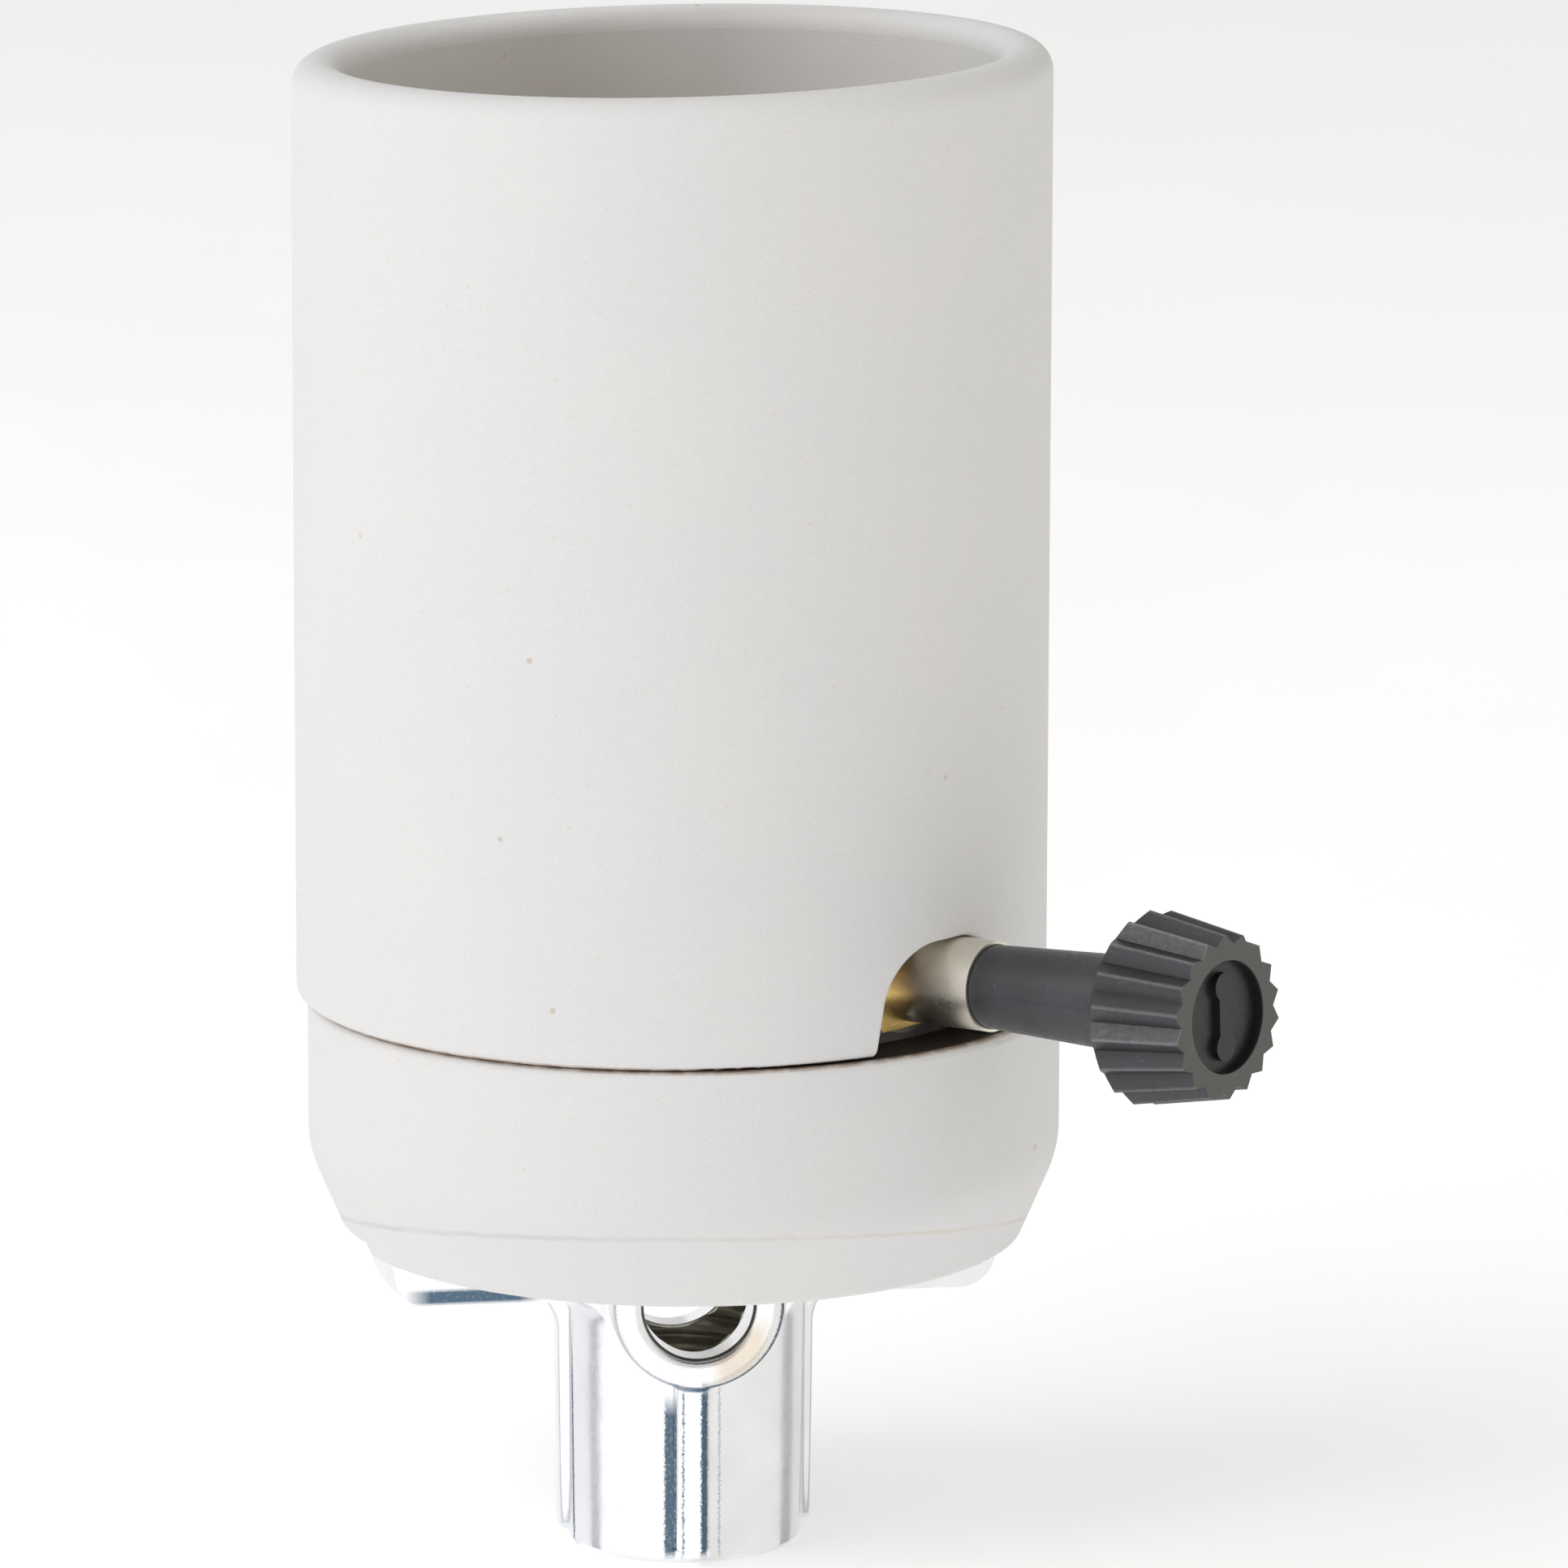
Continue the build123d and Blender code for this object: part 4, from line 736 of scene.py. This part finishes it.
def sky():
    """Pale even surround, darker overhead and slightly warm on the right."""
    world = bpy.data.worlds.new("studio")
    world.use_nodes = True
    tree = world.node_tree
    background = tree.nodes["Background"]
    place = tree.nodes.new("ShaderNodeTexCoord")
    parts = tree.nodes.new("ShaderNodeSeparateXYZ")
    tree.links.new(place.outputs["Generated"], parts.inputs[0])
    height = tree.nodes.new("ShaderNodeMapRange")
    levels = {"From Min": HORIZON_UP, "From Max": ZENITH_UP, "To Min": HORIZON, "To Max": ZENITH}
    for name, value in levels.items():
        height.inputs[name].default_value = value
    tree.links.new(parts.outputs["Z"], height.inputs["Value"])
    tree.links.new(height.outputs["Result"], background.inputs["Strength"])
    side = tree.nodes.new("ShaderNodeVectorMath")
    side.operation = "DOT_PRODUCT"
    side.inputs[1].default_value = direction(90)
    tree.links.new(place.outputs["Generated"], side.inputs[0])
    tint = tree.nodes.new("ShaderNodeMix")
    tint.data_type = "RGBA"
    tint.inputs[6].default_value = (*COOL, 1)
    tint.inputs[7].default_value = (*WARM, 1)
    spread = tree.nodes.new("ShaderNodeMapRange")
    spread.inputs["From Min"].default_value = COOL_SIDE
    spread.inputs["From Max"].default_value = WARM_SIDE
    tree.links.new(side.outputs["Value"], spread.inputs["Value"])
    tree.links.new(spread.outputs["Result"], tint.inputs["Factor"])
    tree.links.new(tint.outputs[2], background.inputs["Color"])
    bpy.context.scene.world = world


def card(name, low, high, colour, strength=1.0):
    """A board that only the bright metal reflects, where walls facing between two angles mirror it."""
    vertices, faces = [], []
    for i in range(CARD_STEPS + 1):
        angle = low + (high - low) * i / CARD_STEPS
        start = direction(angle) * NECK_WALL_R + CARD_LIFT
        end = start + direction(2 * angle) * CARD_REACH
        vertices += [tuple(start), tuple(end), tuple(end + CARD_HEIGHT)]
    for i in range(CARD_STEPS):
        a, b = 3 * i, 3 * i + 3
        faces += [(a, a + 1, b + 1, b), (a + 1, a + 2, b + 2, b + 1)]
    s = Surface(name)
    s.colour((0.0, 0.0, 0.0, 1.0))
    s.roughness(1.0)
    s.specular(0.0)
    cloud = s.spread(s.noise(0.03, 2.0, 0.5), 0.3, 0.7)
    s.emission(s.mix(cloud, colour, tuple(0.94 * c for c in colour)), strength)
    mesh = mesh_from(name, vertices, faces, smooth=False)
    mesh.materials.append(s.material)
    obj = bpy.data.objects.new(name, mesh)
    bpy.context.scene.collection.objects.link(obj)
    obj.visible_camera = False
    obj.visible_diffuse = False
    obj.visible_shadow = False
    obj.visible_transmission = False


def studio():
    studio_floor()
    sky()
    area_light("key", CAMERA_AZIMUTH - 62, 46, 1.3, 1.1, 8.6)
    area_light("fill", CAMERA_AZIMUTH + 40, 62, 1.4, 1.0, 2.0, WARM)
    card("far_left_card", -86, -53, (0.98, 0.98, 1.0), 1.05)
    card("left_flag", -52, -45, (0.56, 0.56, 0.60))
    card("left_card", -44, 12, (0.99, 0.995, 1.0), 1.25)
    card("right_card", 13, 55, (0.98, 0.985, 0.95), 0.95)
    card("right_flag", 56, 66, (0.50, 0.48, 0.50))
    card("far_right_card", 67, 86, (0.97, 0.96, 0.93), 0.85)
    view = bpy.context.scene.view_settings
    view.view_transform = "Standard"
    view.look = "None"


def camera():
    heading = Matrix.Rotation(math.radians(CAMERA_AZIMUTH), 3, "Z")
    pitch, yaw, roll = (math.radians(v) for v in (CAMERA_PITCH, CAMERA_YAW, CAMERA_ROLL))
    forward = heading @ Vector((math.sin(yaw) * math.cos(pitch), math.cos(yaw) * math.cos(pitch),
                                -math.sin(pitch)))
    right = forward.cross(Vector((0, 0, 1))).normalized()
    up = right.cross(forward)
    x_axis = right * math.cos(roll) + up * math.sin(roll)
    y_axis = -right * math.sin(roll) + up * math.cos(roll)
    data = bpy.data.cameras.new("camera")
    data.lens = CAMERA_LENS
    data.sensor_width = CAMERA_SENSOR
    data.clip_end = 50.0
    obj = bpy.data.objects.new("camera", data)
    place = heading @ Vector((0, -CAMERA_DISTANCE, CAMERA_HEIGHT))
    turn = Matrix((x_axis, y_axis, -forward)).transposed().to_4x4()
    obj.matrix_world = Matrix.Translation(place) @ turn
    bpy.context.scene.collection.objects.link(obj)
    bpy.context.scene.camera = obj


studio()
camera()
